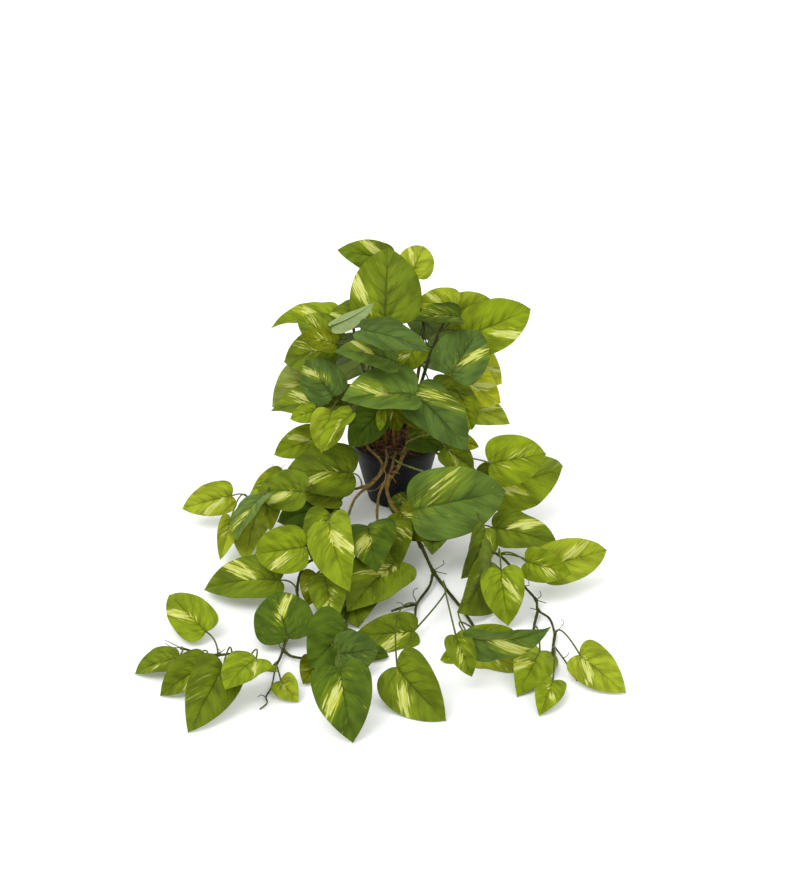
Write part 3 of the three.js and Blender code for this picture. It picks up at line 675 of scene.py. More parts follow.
class Recipe:
    """One material's nodes, added step by step in front of its shader."""

    def __init__(self, name: str) -> None:
        """Starts the material.

        Args:
            name: The material's name.
        """
        self.material = bpy.data.materials.new(name)
        self.material.use_nodes = True
        self.nodes = self.material.node_tree.nodes
        self.shader = next(n for n in self.nodes if n.type == "BSDF_PRINCIPLED")

    def feed(self, socket: bpy.types.NodeSocket, value: Union[Number, Colour]) -> None:
        """Links a socket to a value's socket, or sets it to a number or colour.

        Args:
            socket: The socket that takes the value.
            value: The value.
        """
        if isinstance(value, bpy.types.NodeSocket):
            self.material.node_tree.links.new(value, socket)
        elif isinstance(value, tuple) and socket.type == "RGBA":
            socket.default_value = (*value, 1.0)
        else:
            socket.default_value = value

    def math(self, operation: str, *values: Number) -> bpy.types.NodeSocket:
        """Adds a calculation.

        Args:
            operation: The Math node's operation.
            values: What it works on.

        Returns:
            Its result.
        """
        node = self.nodes.new("ShaderNodeMath")
        node.operation = operation
        for socket, value in zip(node.inputs, values):
            self.feed(socket, value)
        return node.outputs[0]

    def step(self, value: Number, low: float, high: float) -> bpy.types.NodeSocket:
        """Adds a smooth step.

        Args:
            value: What it reads.
            low: The value that gives 0.
            high: The value that gives 1.

        Returns:
            The step, from 0 to 1.
        """
        node = self.nodes.new("ShaderNodeMapRange")
        node.interpolation_type = "SMOOTHSTEP"
        for name, entry in (("Value", value), ("From Min", low), ("From Max", high)):
            self.feed(node.inputs[name], entry)
        return node.outputs["Result"]

    def vector(self, x: Number, y: Number, z: Number) -> bpy.types.NodeSocket:
        """Adds a vector made of three numbers.

        Args:
            x: The first number.
            y: The second number.
            z: The third number.

        Returns:
            The vector.
        """
        node = self.nodes.new("ShaderNodeCombineXYZ")
        for socket, value in zip(node.inputs, (x, y, z)):
            self.feed(socket, value)
        return node.outputs[0]

    def parts(self, value: bpy.types.NodeSocket) -> tuple[bpy.types.NodeSocket, ...]:
        """Splits a vector into its three numbers.

        Args:
            value: The vector.

        Returns:
            The numbers.
        """
        node = self.nodes.new("ShaderNodeSeparateXYZ")
        self.feed(node.inputs[0], value)
        return tuple(node.outputs)

    def attribute(self, name: str, output: str) -> bpy.types.NodeSocket:
        """Reads one of the piece's own attributes.

        Args:
            name: The attribute's name.
            output: Color, Vector or Fac.

        Returns:
            The attribute's value.
        """
        node = self.nodes.new("ShaderNodeAttribute")
        node.attribute_name = name
        return node.outputs[output]

    def place(self) -> bpy.types.NodeSocket:
        """Reads the place on the piece, in metres."""
        return self.nodes.new("ShaderNodeTexCoord").outputs["Object"]

    def noise(self, vector: bpy.types.NodeSocket, scale: float, detail: float) -> bpy.types.NodeSocket:
        """Adds noise.

        Args:
            vector: Where it is read.
            scale: How fine it is.
            detail: How many finer layers it has.

        Returns:
            The noise, about 0.5.
        """
        node = self.nodes.new("ShaderNodeTexNoise")
        for name, entry in (("Vector", vector), ("Scale", scale), ("Detail", detail), ("Roughness", 0.55)):
            self.feed(node.inputs[name], entry)
        return node.outputs[0]

    def blend(self, share: Number, base: Colour, top: Colour) -> bpy.types.NodeSocket:
        """Lays one colour over another.

        Args:
            share: How much of the top colour shows.
            base: The colour below.
            top: The colour on top.

        Returns:
            The mixed colour.
        """
        node = self.nodes.new("ShaderNodeMix")
        node.data_type = "RGBA"
        for index, entry in ((0, share), (6, base), (7, top)):
            self.feed(node.inputs[index], entry)
        return node.outputs[2]

    def dim(self, colour: Colour, share: Number) -> bpy.types.NodeSocket:
        """Scales a colour by a number.

        Args:
            colour: The colour.
            share: The number.

        Returns:
            The scaled colour.
        """
        node = self.nodes.new("ShaderNodeVectorMath")
        node.operation = "SCALE"
        self.feed(node.inputs[0], colour)
        self.feed(node.inputs["Scale"], share)
        return node.outputs[0]

    def relief(self, height: bpy.types.NodeSocket, depth: float, strength: float = 1.0) -> None:
        """Gives the shader a bumpy surface.

        Args:
            height: The surface's height, from 0 to 1.
            depth: What a height of 1 stands for, in metres.
            strength: How much of it shows.
        """
        node = self.nodes.new("ShaderNodeBump")
        node.inputs["Distance"].default_value = depth
        node.inputs["Strength"].default_value = strength
        self.feed(node.inputs["Height"], height)
        self.feed(self.shader.inputs["Normal"], node.outputs[0])

    def finish(self, colour: Colour, roughness: Number, specular: float) -> bpy.types.Material:
        """Settles the shader's main sockets.

        Args:
            colour: The surface's colour.
            roughness: Its roughness.
            specular: Its specular level.

        Returns:
            The finished material.
        """
        self.feed(self.shader.inputs["Base Color"], colour)
        self.feed(self.shader.inputs["Roughness"], roughness)
        self.shader.inputs["Specular IOR Level"].default_value = specular
        return self.material


class Strokes(Enum):
    """The layers of drawn-out noise that the blades are printed with.

    Each has the strokes in a blade length, how often one breaks off, and a number that tells its noise apart.
    """

    CLOUDS = (7.0, 2.4, 11.0)
    THREADS = (55.0, 4.0, 23.0)
    CREAM = (34.0, 3.0, 37.0)
    FLECKS = (42.0, 5.0, 71.0)
    UNDERSIDE = (8.0, 2.2, 51.0)


@dataclass(frozen=True)
class LeafFinish:
    """The printed finish of the blades. It reads each leaf's tint, cream and seed from the mesh's attributes.

    Attributes:
        veins: The side veins on each side.
        slant: The angle that the printed strokes make with the midrib, in radians.
        patch: The breadth and length of the cream, in blade lengths.
        cream: The palest print.
        butter: The yellower print round it.
        halo: The light green that the print fades into.
        underside: The pale green of the back of the cloth.
        back_rib: The colour of the ribs there.
        weave: How fine the cloth's weave is.
        roughness: The roughness of the upper side.
    """

    veins: float = 8.0
    slant: float = 0.5
    patch: tuple[float, float] = (0.1, 0.34)
    cream: tuple[float, float, float] = (0.56, 0.59, 0.2)
    butter: tuple[float, float, float] = (0.36, 0.39, 0.02)
    halo: tuple[float, float, float] = (0.22, 0.27, 0.006)
    underside: tuple[float, float, float] = (0.25, 0.33, 0.1)
    back_rib: tuple[float, float, float] = (0.33, 0.38, 0.15)
    weave: float = 2600.0
    roughness: float = 0.5

    def _veins(self, recipe: Recipe) -> tuple[bpy.types.NodeSocket, ...]:
        """Draws the vein lines.

        Args:
            recipe: The material that is being made.

        Returns:
            The lines' strength, the soft quilting between them, and the distance from the midrib.
        """
        uv = recipe.nodes.new("ShaderNodeUVMap")
        uv.uv_map = "blade"
        along, across, _ = recipe.parts(uv.outputs[0])
        away = recipe.math("ABSOLUTE", across)
        bow = recipe.math("MULTIPLY", away, away)
        fan = recipe.math("MULTIPLY_ADD", bow, -0.05, along)
        lines = recipe.math("PINGPONG", recipe.math("MULTIPLY", fan, self.veins), 0.5)
        inner = recipe.math("MULTIPLY", recipe.step(away, 0.85, 0.12), recipe.step(along, 0.92, 0.62))
        side_veins = recipe.math("MULTIPLY", recipe.step(lines, 0.06, 0.0), inner)
        midrib = recipe.math("MULTIPLY", recipe.step(away, 0.06, 0.015), recipe.step(along, 1.0, 0.75))
        quilt = recipe.math("MULTIPLY", recipe.step(lines, 0.0, 0.5), inner)
        return recipe.math("MAXIMUM", side_veins, midrib), quilt, away

    def _slanted(self, recipe: Recipe, along: Number, out: Number) -> tuple[bpy.types.NodeSocket, ...]:
        """Turns a place on the blade into the strokes' own directions.

        Args:
            recipe: The material that is being made.
            along: The share of the length.
            out: The distance from the midrib, in lengths.

        Returns:
            The place across the strokes and the place along them.
        """
        sin, cos = math.sin(self.slant), math.cos(self.slant)
        leaned = recipe.math("MULTIPLY", out, cos)
        breadth = recipe.math("SUBTRACT", leaned, recipe.math("MULTIPLY", along, sin))
        length = recipe.math("ADD", recipe.math("MULTIPLY", along, cos), recipe.math("MULTIPLY", out, sin))
        return breadth, length

    def _strokes(self, recipe: Recipe, layer: Strokes) -> bpy.types.NodeSocket:
        """Draws noise that is drawn out along the strokes.

        Args:
            recipe: The material that is being made.
            layer: Which strokes they are.

        Returns:
            The noise, about 0.5.
        """
        fine, long, shift = layer.value
        uv = recipe.nodes.new("ShaderNodeUVMap")
        uv.uv_map = "cut"
        along, out, _ = recipe.parts(uv.outputs[0])
        breadth, length = self._slanted(recipe, along, recipe.math("ABSOLUTE", out))
        side = recipe.math("MULTIPLY", recipe.math("SIGN", out), 3.7)
        seed = recipe.math("MULTIPLY_ADD", recipe.attribute("seed", "Fac"), 61.0, side)
        spot = recipe.vector(
            recipe.math("MULTIPLY", breadth, fine),
            recipe.math("MULTIPLY", length, long),
            recipe.math("ADD", seed, shift),
        )
        return recipe.noise(spot, 1.0, 2.5)

    def _patch(self, recipe: Recipe, side: Number, centre: Number) -> bpy.types.NodeSocket:
        """Places the leaf's cream.

        Args:
            recipe: The material that is being made.
            side: The middle's distance from the midrib, in lengths, with its side as its sign.
            centre: The middle's share of the length.

        Returns:
            How near the middle is, up to 1.
        """
        uv = recipe.nodes.new("ShaderNodeUVMap")
        uv.uv_map = "cut"
        along, out, _ = recipe.parts(uv.outputs[0])
        mirrored = recipe.math("MULTIPLY", out, recipe.math("SIGN", side))
        here = self._slanted(recipe, along, mirrored)
        middle = self._slanted(recipe, centre, recipe.math("ABSOLUTE", side))
        gaps = [
            recipe.math("POWER", recipe.math("DIVIDE", recipe.math("SUBTRACT", place, mid), reach), 2.0)
            for place, mid, reach in zip(here, middle, self.patch)
        ]
        return recipe.math("SUBTRACT", 1.0, recipe.math("SQRT", recipe.math("ADD", *gaps)))

    def upper(self) -> bpy.types.Material:
        """Makes the printed upper side, with painted shade in the vein grooves and painted light on the
        quilting between them.

        Returns:
            The material.
        """
        recipe = Recipe("pothos_leaf_upper")
        ribs, quilt, away = self._veins(recipe)
        tint = recipe.attribute("tint", "Color")
        amount, side, centre = recipe.parts(recipe.attribute("print", "Vector"))

        clouds = self._strokes(recipe, Strokes.CLOUDS)
        threads = self._strokes(recipe, Strokes.THREADS)
        tone = recipe.math("MULTIPLY_ADD", recipe.step(clouds, 0.3, 0.7), 0.5, 0.66)
        tone = recipe.math("MULTIPLY_ADD", recipe.math("SUBTRACT", threads, 0.5), 0.7, tone)
        # The quilted bulges between the veins are painted lighter: painted light on their tops.
        tone = recipe.math("MULTIPLY_ADD", quilt, 0.16, tone)
        tone = recipe.math("MULTIPLY_ADD", recipe.step(away, 0.25, 0.0), -0.1, tone)
        green = recipe.dim(tint, tone)

        patch = self._patch(recipe, side, centre)
        strokes = self._strokes(recipe, Strokes.CREAM)
        ragged = recipe.math("MULTIPLY", recipe.math("SUBTRACT", strokes, 0.5), 2.4)
        strength = recipe.math("MULTIPLY_ADD", recipe.math("MULTIPLY", amount, patch), 1.1, ragged)
        wet = recipe.step(amount, 0.0, 0.3)
        halo = recipe.math("MULTIPLY", recipe.step(strength, -0.6, 0.35), wet)
        green = recipe.blend(recipe.math("MULTIPLY", halo, 0.45), green, recipe.dim(self.halo, tone))
        # The vein lines are painted darker: painted shade in the grooves of the veins and midrib.
        green = recipe.blend(recipe.math("MULTIPLY", ribs, 0.62), green, recipe.dim(tint, 0.32))
        flecks = recipe.math("MULTIPLY", recipe.step(self._strokes(recipe, Strokes.FLECKS), 0.66, 0.76), wet)
        green = recipe.blend(recipe.math("MULTIPLY", flecks, 0.5), green, self.butter)
        cream = recipe.math("MULTIPLY", recipe.step(strength, 0.24, 0.44), wet)
        pale = recipe.blend(recipe.step(threads, 0.36, 0.6), self.butter, self.cream)
        colour = recipe.blend(recipe.math("MULTIPLY", cream, 0.9), green, pale)

        weave = recipe.noise(recipe.place(), self.weave, 1.0)
        cells = recipe.math("MULTIPLY_ADD", weave, 0.12, recipe.math("MULTIPLY", clouds, 0.5))
        cells = recipe.math("MULTIPLY_ADD", quilt, 0.5, cells)
        recipe.relief(recipe.math("SUBTRACT", cells, recipe.math("MULTIPLY", ribs, 0.4)), 0.0011, 0.8)
        roughness = recipe.math("MULTIPLY_ADD", threads, 0.16, self.roughness - 0.08)
        return recipe.finish(colour, roughness, 0.06)

    def under(self) -> bpy.types.Material:
        """Makes the pale underside.

        Returns:
            The material.
        """
        recipe = Recipe("pothos_leaf_underside")
        ribs, quilt, _ = self._veins(recipe)
        tone = recipe.math("MULTIPLY_ADD", self._strokes(recipe, Strokes.UNDERSIDE), 0.7, 0.62)
        green = recipe.blend(0.5, recipe.attribute("tint", "Color"), self.underside)
        colour = recipe.blend(recipe.math("MULTIPLY", ribs, 0.35), recipe.dim(green, tone), self.back_rib)
        weave = recipe.noise(recipe.place(), self.weave, 1.0)
        raised = recipe.math("MULTIPLY", ribs, 0.6)
        swell = recipe.math("SUBTRACT", raised, recipe.math("MULTIPLY", quilt, 0.4))
        recipe.relief(recipe.math("MULTIPLY_ADD", weave, 0.2, swell), 0.0008, 0.8)
        return recipe.finish(colour, 0.6, 0.1)


@dataclass(frozen=True)
class BarkFinish:
    """The finish of one kind of stem.

    Attributes:
        name: The material's name.
        base: Its main colour.
        pale_streak: The colour of its lighter streaks.
        far: Its colour in front of the pot and high over it, where that differs.
        roughness: Its roughness.
        depth: The depth of its relief, in metres.
    """

    name: str
    base: tuple[float, float, float]
    pale_streak: tuple[float, float, float]
    far: Union[tuple[float, float, float], None] = None
    roughness: float = 0.6
    depth: float = 0.0004

    FRONT_FADE = (-0.10, -0.24)  # the depths between which it turns to the far colour, in metres
    HIGH_FADE = (0.14, 0.2)  # the heights between which it does
    STREAKS = (0.5, 0.72)  # the noise between which a streak comes up

    def make(self) -> bpy.types.Material:
        """Makes the material.

        Returns:
            The material.
        """
        recipe = Recipe(self.name)
        place = recipe.place()
        streaks = recipe.noise(place, 260.0, 3.0)
        patches = recipe.noise(place, 45.0, 2.0)
        base = recipe.blend(recipe.step(patches, 0.42, 0.62), self.base, recipe.dim(self.base, 0.62))
        streaked = recipe.step(streaks, *self.STREAKS)
        colour = recipe.blend(streaked, base, self.pale_streak)
        if self.far:
            _, depth, height = recipe.parts(place)
            front = recipe.step(depth, *self.FRONT_FADE)
            gone = recipe.math("MAXIMUM", front, recipe.step(height, *self.HIGH_FADE))
            distant = recipe.blend(streaked, self.far, recipe.dim(self.far, 1.7))
            colour = recipe.blend(gone, colour, distant)
        recipe.relief(recipe.math("MULTIPLY_ADD", recipe.noise(place, 900.0, 2.0), 0.5, streaks), self.depth)
        return recipe.finish(colour, self.roughness, 0.1)


@dataclass(frozen=True)
class PotFinish:
    """The satin black of the moulded nursery pot.

    Attributes:
        colour: The plastic's colour.
        dust: The colour of the dust on it.
        roughness: Its roughness.
    """

    colour: tuple[float, float, float] = (0.0035, 0.004, 0.0055)
    dust: tuple[float, float, float] = (0.012, 0.012, 0.013)
    roughness: float = 0.5

    def make(self) -> bpy.types.Material:
        """Makes the material.

        Returns:
            The material.
        """
        recipe = Recipe("nursery_pot_plastic")
        place = recipe.place()
        cloud = recipe.noise(place, 28.0, 4.0)
        grain = recipe.noise(place, 1500.0, 2.0)
        dusty = recipe.math("MULTIPLY", recipe.step(cloud, 0.5, 0.8), 0.5)
        colour = recipe.blend(dusty, self.colour, self.dust)
        recipe.relief(grain, 0.00012, 0.7)
        roughness = recipe.math("MULTIPLY_ADD", cloud, 0.22, self.roughness - 0.08)
        return recipe.finish(colour, roughness, 0.2)


@dataclass(frozen=True)
class FibreFinish:
    """The dark coir and straw of the growing medium.

    Attributes:
        name: The material's name.
        dark: The colour in the hollows, which is painted shade there.
        warm: The colour of the fibres.
        pale: The colour of the lightest ones.
    """

    name: str
    dark: tuple[float, float, float]
    warm: tuple[float, float, float]
    pale: tuple[float, float, float]

    def make(self) -> bpy.types.Material:
        """Makes the material.

        Returns:
            The material.
        """
        recipe = Recipe(self.name)
        place = recipe.place()
        x, y, z = recipe.parts(place)
        turned = recipe.vector(
            recipe.math("MULTIPLY", recipe.math("ADD", x, recipe.math("MULTIPLY", y, 0.6)), 1100.0),
            recipe.math("MULTIPLY", recipe.math("SUBTRACT", y, x), 220.0),
            recipe.math("MULTIPLY", z, 700.0),
        )
        fibres = recipe.noise(turned, 1.0, 3.0)
        clumps = recipe.noise(place, 120.0, 4.0)
        # Where the clumps sink, the colour turns dark: painted shade in the hollows.
        colour = recipe.blend(recipe.step(clumps, 0.38, 0.62), self.dark, self.warm)
        colour = recipe.blend(recipe.step(fibres, 0.6, 0.75), colour, self.pale)
        recipe.relief(recipe.math("ADD", fibres, clumps), 0.002)
        return recipe.finish(colour, 0.92, 0.2)


def add_piece(name: str, mesh: bpy.types.Mesh, materials: Sequence[bpy.types.Material]) -> bpy.types.Object:
    """Puts a finished mesh into the scene, riding on the plant's body.

    Args:
        name: The piece's name.
        mesh: Its mesh, in metres, in its place.
        materials: Its materials.

    Returns:
        The piece.
    """
    piece = bpy.data.objects.new(name, mesh)
    bpy.context.scene.collection.objects.link(piece)
    for slot, material in enumerate(materials):
        if slot < len(mesh.materials):
            mesh.materials[slot] = material
        else:
            mesh.materials.append(material)
    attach(piece, "root")
    LOG.info("%s: %d faces", name, len(mesh.polygons))
    return piece


def mesh_of(name: str, bm: bmesh.types.BMesh) -> bpy.types.Mesh:
    """Writes a bmesh out as a smooth-shaded mesh and frees it.

    Args:
        name: The mesh's name.
        bm: The bmesh.

    Returns:
        The mesh.
    """
    mesh = bpy.data.meshes.new(name)
    for face in bm.faces:
        face.smooth = True
    bm.to_mesh(mesh)
    bm.free()
    return mesh


class Outline:
    """The heart shape that every blade is cut to, as a fan of lines from the midrib to the margin."""

    MARGIN = (
        (0.0, 0.0), (-0.045, 0.12), (-0.075, 0.35), (-0.07, 0.62), (-0.02, 0.83), (0.08, 0.96), (0.28, 1.0),
        (0.55, 0.87), (0.8, 0.51), (0.92, 0.23), (0.97, 0.075), (1.0, 0.0),
    )
    MARGIN_STEPS = 24
    HALF_WIDTH = 0.4  # the half width that the margin's length is measured at, in blade lengths
    LOBE_SHARE = 0.3  # the share of the margin whose lines start from the foot
    RIB_CROWDING = 1.5  # above 1 the lines start closer together near the foot

    def __init__(self) -> None:
        """Measures the margin, so that it can be read by share of its length."""
        margin = [Vector((s, t * self.HALF_WIDTH, 0)) for s, t in self.MARGIN]
        self.points = smooth_route(margin, self.MARGIN_STEPS)
        self.stations = [0.0]
        for here, there in zip(self.points, self.points[1:]):
            self.stations.append(self.stations[-1] + (there - here).length)

    def margin(self, share: float) -> tuple[float, float]:
        """Gives a point of the margin.

        Args:
            share: Its share of the margin's length, from the notch to the tip.

        Returns:
            Its share of the blade's length and of the half width.
        """
        wanted = share * self.stations[-1]
        i = min(next((k for k, s in enumerate(self.stations) if s >= wanted), 1), len(self.points) - 1)
        i = max(i, 1)
        span = self.stations[i] - self.stations[i - 1]
        point = self.points[i - 1].lerp(self.points[i], (wanted - self.stations[i - 1]) / span)
        return point.x, point.y / self.HALF_WIDTH

    def rib(self, share: float) -> float:
        """Gives the place on the midrib that the line to a margin point starts from."""
        return max(0.0, (share - self.LOBE_SHARE) / (1 - self.LOBE_SHARE)) ** self.RIB_CROWDING


class Blade:
    """One leaf's blade in space."""

    ARCH = (0.2, 0.2)  # each form's least height and how much chance adds, in blade lengths
    FOLD = (0.12, 0.09)
    CURL = (0.07, 0.05)
    WAVE = (0.015, 0.02)
    RUFFLE = 0.006
    SIDE_SHIFT = 1.9  # how far the waves of the two sides are apart, in radians
    PETIOLE_STEPS = 14
    MIDRIB_STEPS = 12
    MIDRIB_END = 0.18  # the least radius of the midrib
    BEND_PLACE = 0.55  # where the petiole bends, as a share of its reach
    BEND_BACK = 0.25  # how far behind the blade's foot, in reaches
    BEND_UNDER = 0.12  # how far under its face, in reaches
    BEND_RISE = (0.35, 25)  # how far up: in reaches, and at most

    def __init__(self, leaf: Leaf, number: int, viewer: Vector) -> None:
        """Settles the blade's axes.

        Args:
            leaf: The leaf's plan.
            number: Its number in the plant.
            viewer: The point that it faces.
        """
        self.leaf = leaf
        self.number = number
        along = leaf.tip - leaf.foot
        self.length = along.length
        self.along = along.normalized()
        to_eye = viewer - (leaf.foot + leaf.tip) / 2
        face = (to_eye - self.along * to_eye.dot(self.along)).normalized()
        self.face = Matrix.Rotation(math.radians(leaf.turn), 3, self.along) @ face
        self.across = self.along.cross(self.face)
        self.arch = self.ARCH[0] + self.ARCH[1] * chance(number, Trait.ARCH)
        self.fold = self.FOLD[0] + self.FOLD[1] * chance(number, Trait.FOLD)
        self.curl = self.CURL[0] + self.CURL[1] * chance(number, Trait.CURL)
        self.wave = self.WAVE[0] + self.WAVE[1] * chance(number, Trait.WAVE)
        self.phase = 2 * math.pi * chance(number, Trait.PHASE)

    def rise(self, s: float, t: float) -> float:
        """Gives how far the blade stands above its foot-to-tip line.

        Args:
            s: The share of the length.
            t: The share of the half width.

        Returns:
            The height, in blade lengths.
        """
        phase = self.phase + (self.SIDE_SHIFT if t > 0 else 0)
        ends = s * (1 - s) if s > 0 else s
        fold = self.fold * (math.sqrt(t * t + 0.0016) - 0.04)
        wave = self.wave * t * t * math.sin(9 * s + phase)
        ruffle = self.RUFFLE * t**4 * math.sin(26 * s + 2 * phase)
        return self.arch * ends + fold - self.curl * t * t + wave + ruffle

    def point(self, s: float, t: float, lift: float = 0.0) -> Vector:
        """Gives a point of the blade's middle surface.

        Args:
            s: The share of the length.
            t: The share of the half width.
            lift: How far over that surface it is.

        Returns:
            The point.
        """
        place = self.leaf.foot + self.along * (s * self.length)
        place += self.across * (t * self.leaf.wide * self.length / 2)
        place += self.face * (self.rise(s, t) * self.length + lift)
        place.z = max(place.z, GROUND_CLEARANCE)
        return place

    def petiole(self, joint: Vector) -> tuple[list[Vector], list[float]]:
        """Runs the petiole from its joint to the blade and on under it as the midrib.

        Args:
            joint: The joint that it leaves the stem from.

        Returns:
            The petiole's points and its radius at each.
        """
        reach = (self.leaf.foot - joint).length
        bend = joint.lerp(self.leaf.foot, self.BEND_PLACE)
        bend = bend - self.along * (self.BEND_BACK * reach) - self.face * (self.BEND_UNDER * reach)
        rise, most = self.BEND_RISE
        bend.z = max(bend.z + min(rise * reach, most), GROUND_CLEARANCE + PETIOLE_RADIUS)
        end = self.point(0.0, 0.0, -0.6)
        points, radii = [], []
        for i in range(self.PETIOLE_STEPS + 1):
            t = i / self.PETIOLE_STEPS
            points.append(joint * (1 - t) ** 2 + bend * (2 * t * (1 - t)) + end * t * t)
            radii.append(PETIOLE_RADIUS * (1 + 0.55 * math.exp(-t * 14) + 0.18 * math.exp((t - 1) * 12)))
        for i in range(1, self.MIDRIB_STEPS):
            s = i / self.MIDRIB_STEPS
            radius = PETIOLE_RADIUS * (1 - s) ** 0.7 * 0.95
            points.append(self.point(s, 0.0, -radius * 0.75 - 0.05))
            radii.append(max(radius, self.MIDRIB_END))
        for point, radius in zip(points, radii):
            point.z = max(point.z, radius)
        return points, radii


@dataclass
class Blades:
    """All blades of one leafy stem, as one sheet piece with an upper side and an underside.

    Attributes:
        name: The node that they belong to.
        blades: The blades.
        rows: The steps along each margin.
        columns: The steps from margin to margin.
        thickness: The cloth's thickness.
    """

    name: str
    blades: Sequence[Blade]
    rows: int = 44
    columns: int = 28
    thickness: float = 0.6

    def build(self, outline: Outline) -> bpy.types.Mesh:
        """Builds the blades' mesh, each blade shaped from a grid.

        Args:
            outline: The shape that they are cut to.

        Returns:
            The mesh.
        """
        fan = [(outline.rib(i / self.rows), *outline.margin(i / self.rows)) for i in range(self.rows + 1)]
        bm = bmesh.new()
        vein_uv = bm.loops.layers.uv.new("blade")
        print_uv = bm.loops.layers.uv.new("cut")
        tint = bm.verts.layers.float_color.new("tint")
        cream = bm.verts.layers.float_vector.new("print")
        seed = bm.verts.layers.float.new("seed")
        for blade in self.blades:
            grid = bmesh.ops.create_grid(bm, x_segments=self.rows, y_segments=self.columns, size=1)["verts"]
            half = blade.leaf.wide / 2
            amount, side, along = blade.leaf.cream
            spots = {}
            for vert in grid:
                row = round((vert.co.x + 1) / 2 * self.rows)
                x = vert.co.y
                across = -x * abs(x) * (3 - 2 * abs(x))
                rib, s, t = fan[row]
                away = abs(across)
                reach, sway = rib + (s - rib) * away, math.copysign(t * away, across)
                spots[vert] = ((row / self.rows, across), (reach, sway * half))
                vert.co = blade.point(reach, sway) * MM
                vert[tint] = (*blade.leaf.tone.value, 1.0)
                vert[cream] = (amount, side * half, along)
                vert[seed] = chance(blade.number, Trait.PRINT)
            for face in {face for vert in grid for face in vert.link_faces}:
                for loop in face.loops:
                    loop[vein_uv].uv, loop[print_uv].uv = spots[loop.vert]
            bmesh.ops.remove_doubles(bm, verts=grid, dist=MERGE_DISTANCE)
        return mesh_of(f"{self.name}_blades", bm)

    def dress(self, mesh: bpy.types.Mesh, upper: bpy.types.Material, under: bpy.types.Material) -> None:
        """Gives the blades their two sides and their thickness.

        Args:
            mesh: The blades' mesh.
            upper: The material of the upper side.
            under: The material of the underside.
        """
        piece = add_piece(f"{self.name}_blades", mesh, (upper, under))
        cloth = piece.modifiers.new("cloth thickness", "SOLIDIFY")
        cloth.thickness = self.thickness * MM
        cloth.offset = 0.0
        cloth.material_offset = 1
        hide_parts(self.name)


@dataclass
class Rods:
    """All rods of one leafy stem: its stems, petioles, rootlets and twigs.

    Attributes:
        name: The node that they belong to.
        sides: The bevel resolution of each rod.
        rods: Each rod's points, radii and kind.
    """

    name: str
    sides: int = 3
    rods: list[tuple[Sequence[Vector], Sequence[float], StemKind]] = field(default_factory=list)

    ROUTE_STEPS = 9
    ROOTLET_STEPS = 6
    RUNNER_STEPS = 8
    KNOT_REACH = 1.5  # how far along the stem a knot swells it, in stem radii
    ROUTE_TAPER = 0.25  # how much thinner a stem is at its end
    ROOTLET_TAPER = 0.45

    def add_route(self, route: Route, kind: StemKind) -> None:
        """Adds a stem, slightly uneven and swollen at its knots.

        Args:
            route: The stem's run.
            kind: Its kind.
        """
        points = smooth_route(route.points, self.ROUTE_STEPS)
        knots = [route.points[i] for i in route.knots]
        near = self.KNOT_REACH * route.radius
        radii = []
        for i, point in enumerate(points):
            swell = sum(math.exp(-(((point - knot).length / near) ** 2)) for knot in knots)
            uneven = 1 + 0.06 * math.sin(i * 1.7 + route.radius) + 0.04 * math.sin(i * 0.61)
            taper = 1 - self.ROUTE_TAPER * (i / len(points)) ** 2
            radii.append(route.radius * (uneven * taper + (KNOT_SWELL - 1) * min(swell, 1)))
        self.rods.append((points, radii, kind))

    def add_rootlet(self, points: Sequence[Vector], radius: float) -> None:
        """Adds a rootlet or twig that thins to its end.

        Args:
            points: The points that it runs through.
            radius: Its radius at its foot.
        """
        run = smooth_route(points, self.ROOTLET_STEPS)
        radii = [radius * (1 - self.ROOTLET_TAPER * i / len(run)) for i in range(len(run))]
        self.rods.append((run, radii, StemKind.ROOTLET))

    def add_runner(self, points: Sequence[Vector]) -> None:
        """Adds a thin olive stem that is even all along.

        Args:
            points: The points that it runs through.
        """
        run = smooth_route(points, self.RUNNER_STEPS)
        self.rods.append((run, [RUNNER_RADIUS] * len(run), StemKind.PETIOLE))

    def add_petiole(self, blade: Blade, joint: Vector) -> None:
        """Adds a blade's petiole, which starts at the joint."""
        self.rods.append((*blade.petiole(joint), StemKind.PETIOLE))

    def build(self) -> bpy.types.Mesh:
        """Builds the rods' mesh.

        Returns:
            The mesh.
        """
        curve = bpy.data.curves.new(f"{self.name}_run", "CURVE")
        curve.dimensions = "3D"
        curve.bevel_depth = MM
        curve.bevel_resolution = self.sides
        curve.use_fill_caps = True
        for _ in StemKind:
            curve.materials.append(None)
        for points, radii, kind in self.rods:
            spline = curve.splines.new("POLY")
            spline.points.add(len(points) - 1)
            spline.material_index = kind.value
            spline.use_smooth = True
            for spot, point, radius in zip(spline.points, points, radii):
                spot.co = (*(point * MM), 1.0)
                spot.radius = radius
        run = bpy.data.objects.new(curve.name, curve)
        mesh = bpy.data.meshes.new_from_object(run)
        bpy.data.objects.remove(run)
        bpy.data.curves.remove(curve)
        mesh.name = f"{self.name}_rods"
        return mesh

    def dress(self, mesh: bpy.types.Mesh, barks: Sequence[bpy.types.Material]) -> None:
        """Gives the rods their finishes.

        Args:
            mesh: The rods' mesh.
            barks: One material for each kind of rod.
        """
        piece = add_piece(f"{self.name}_rods", mesh, barks)
        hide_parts(self.name)


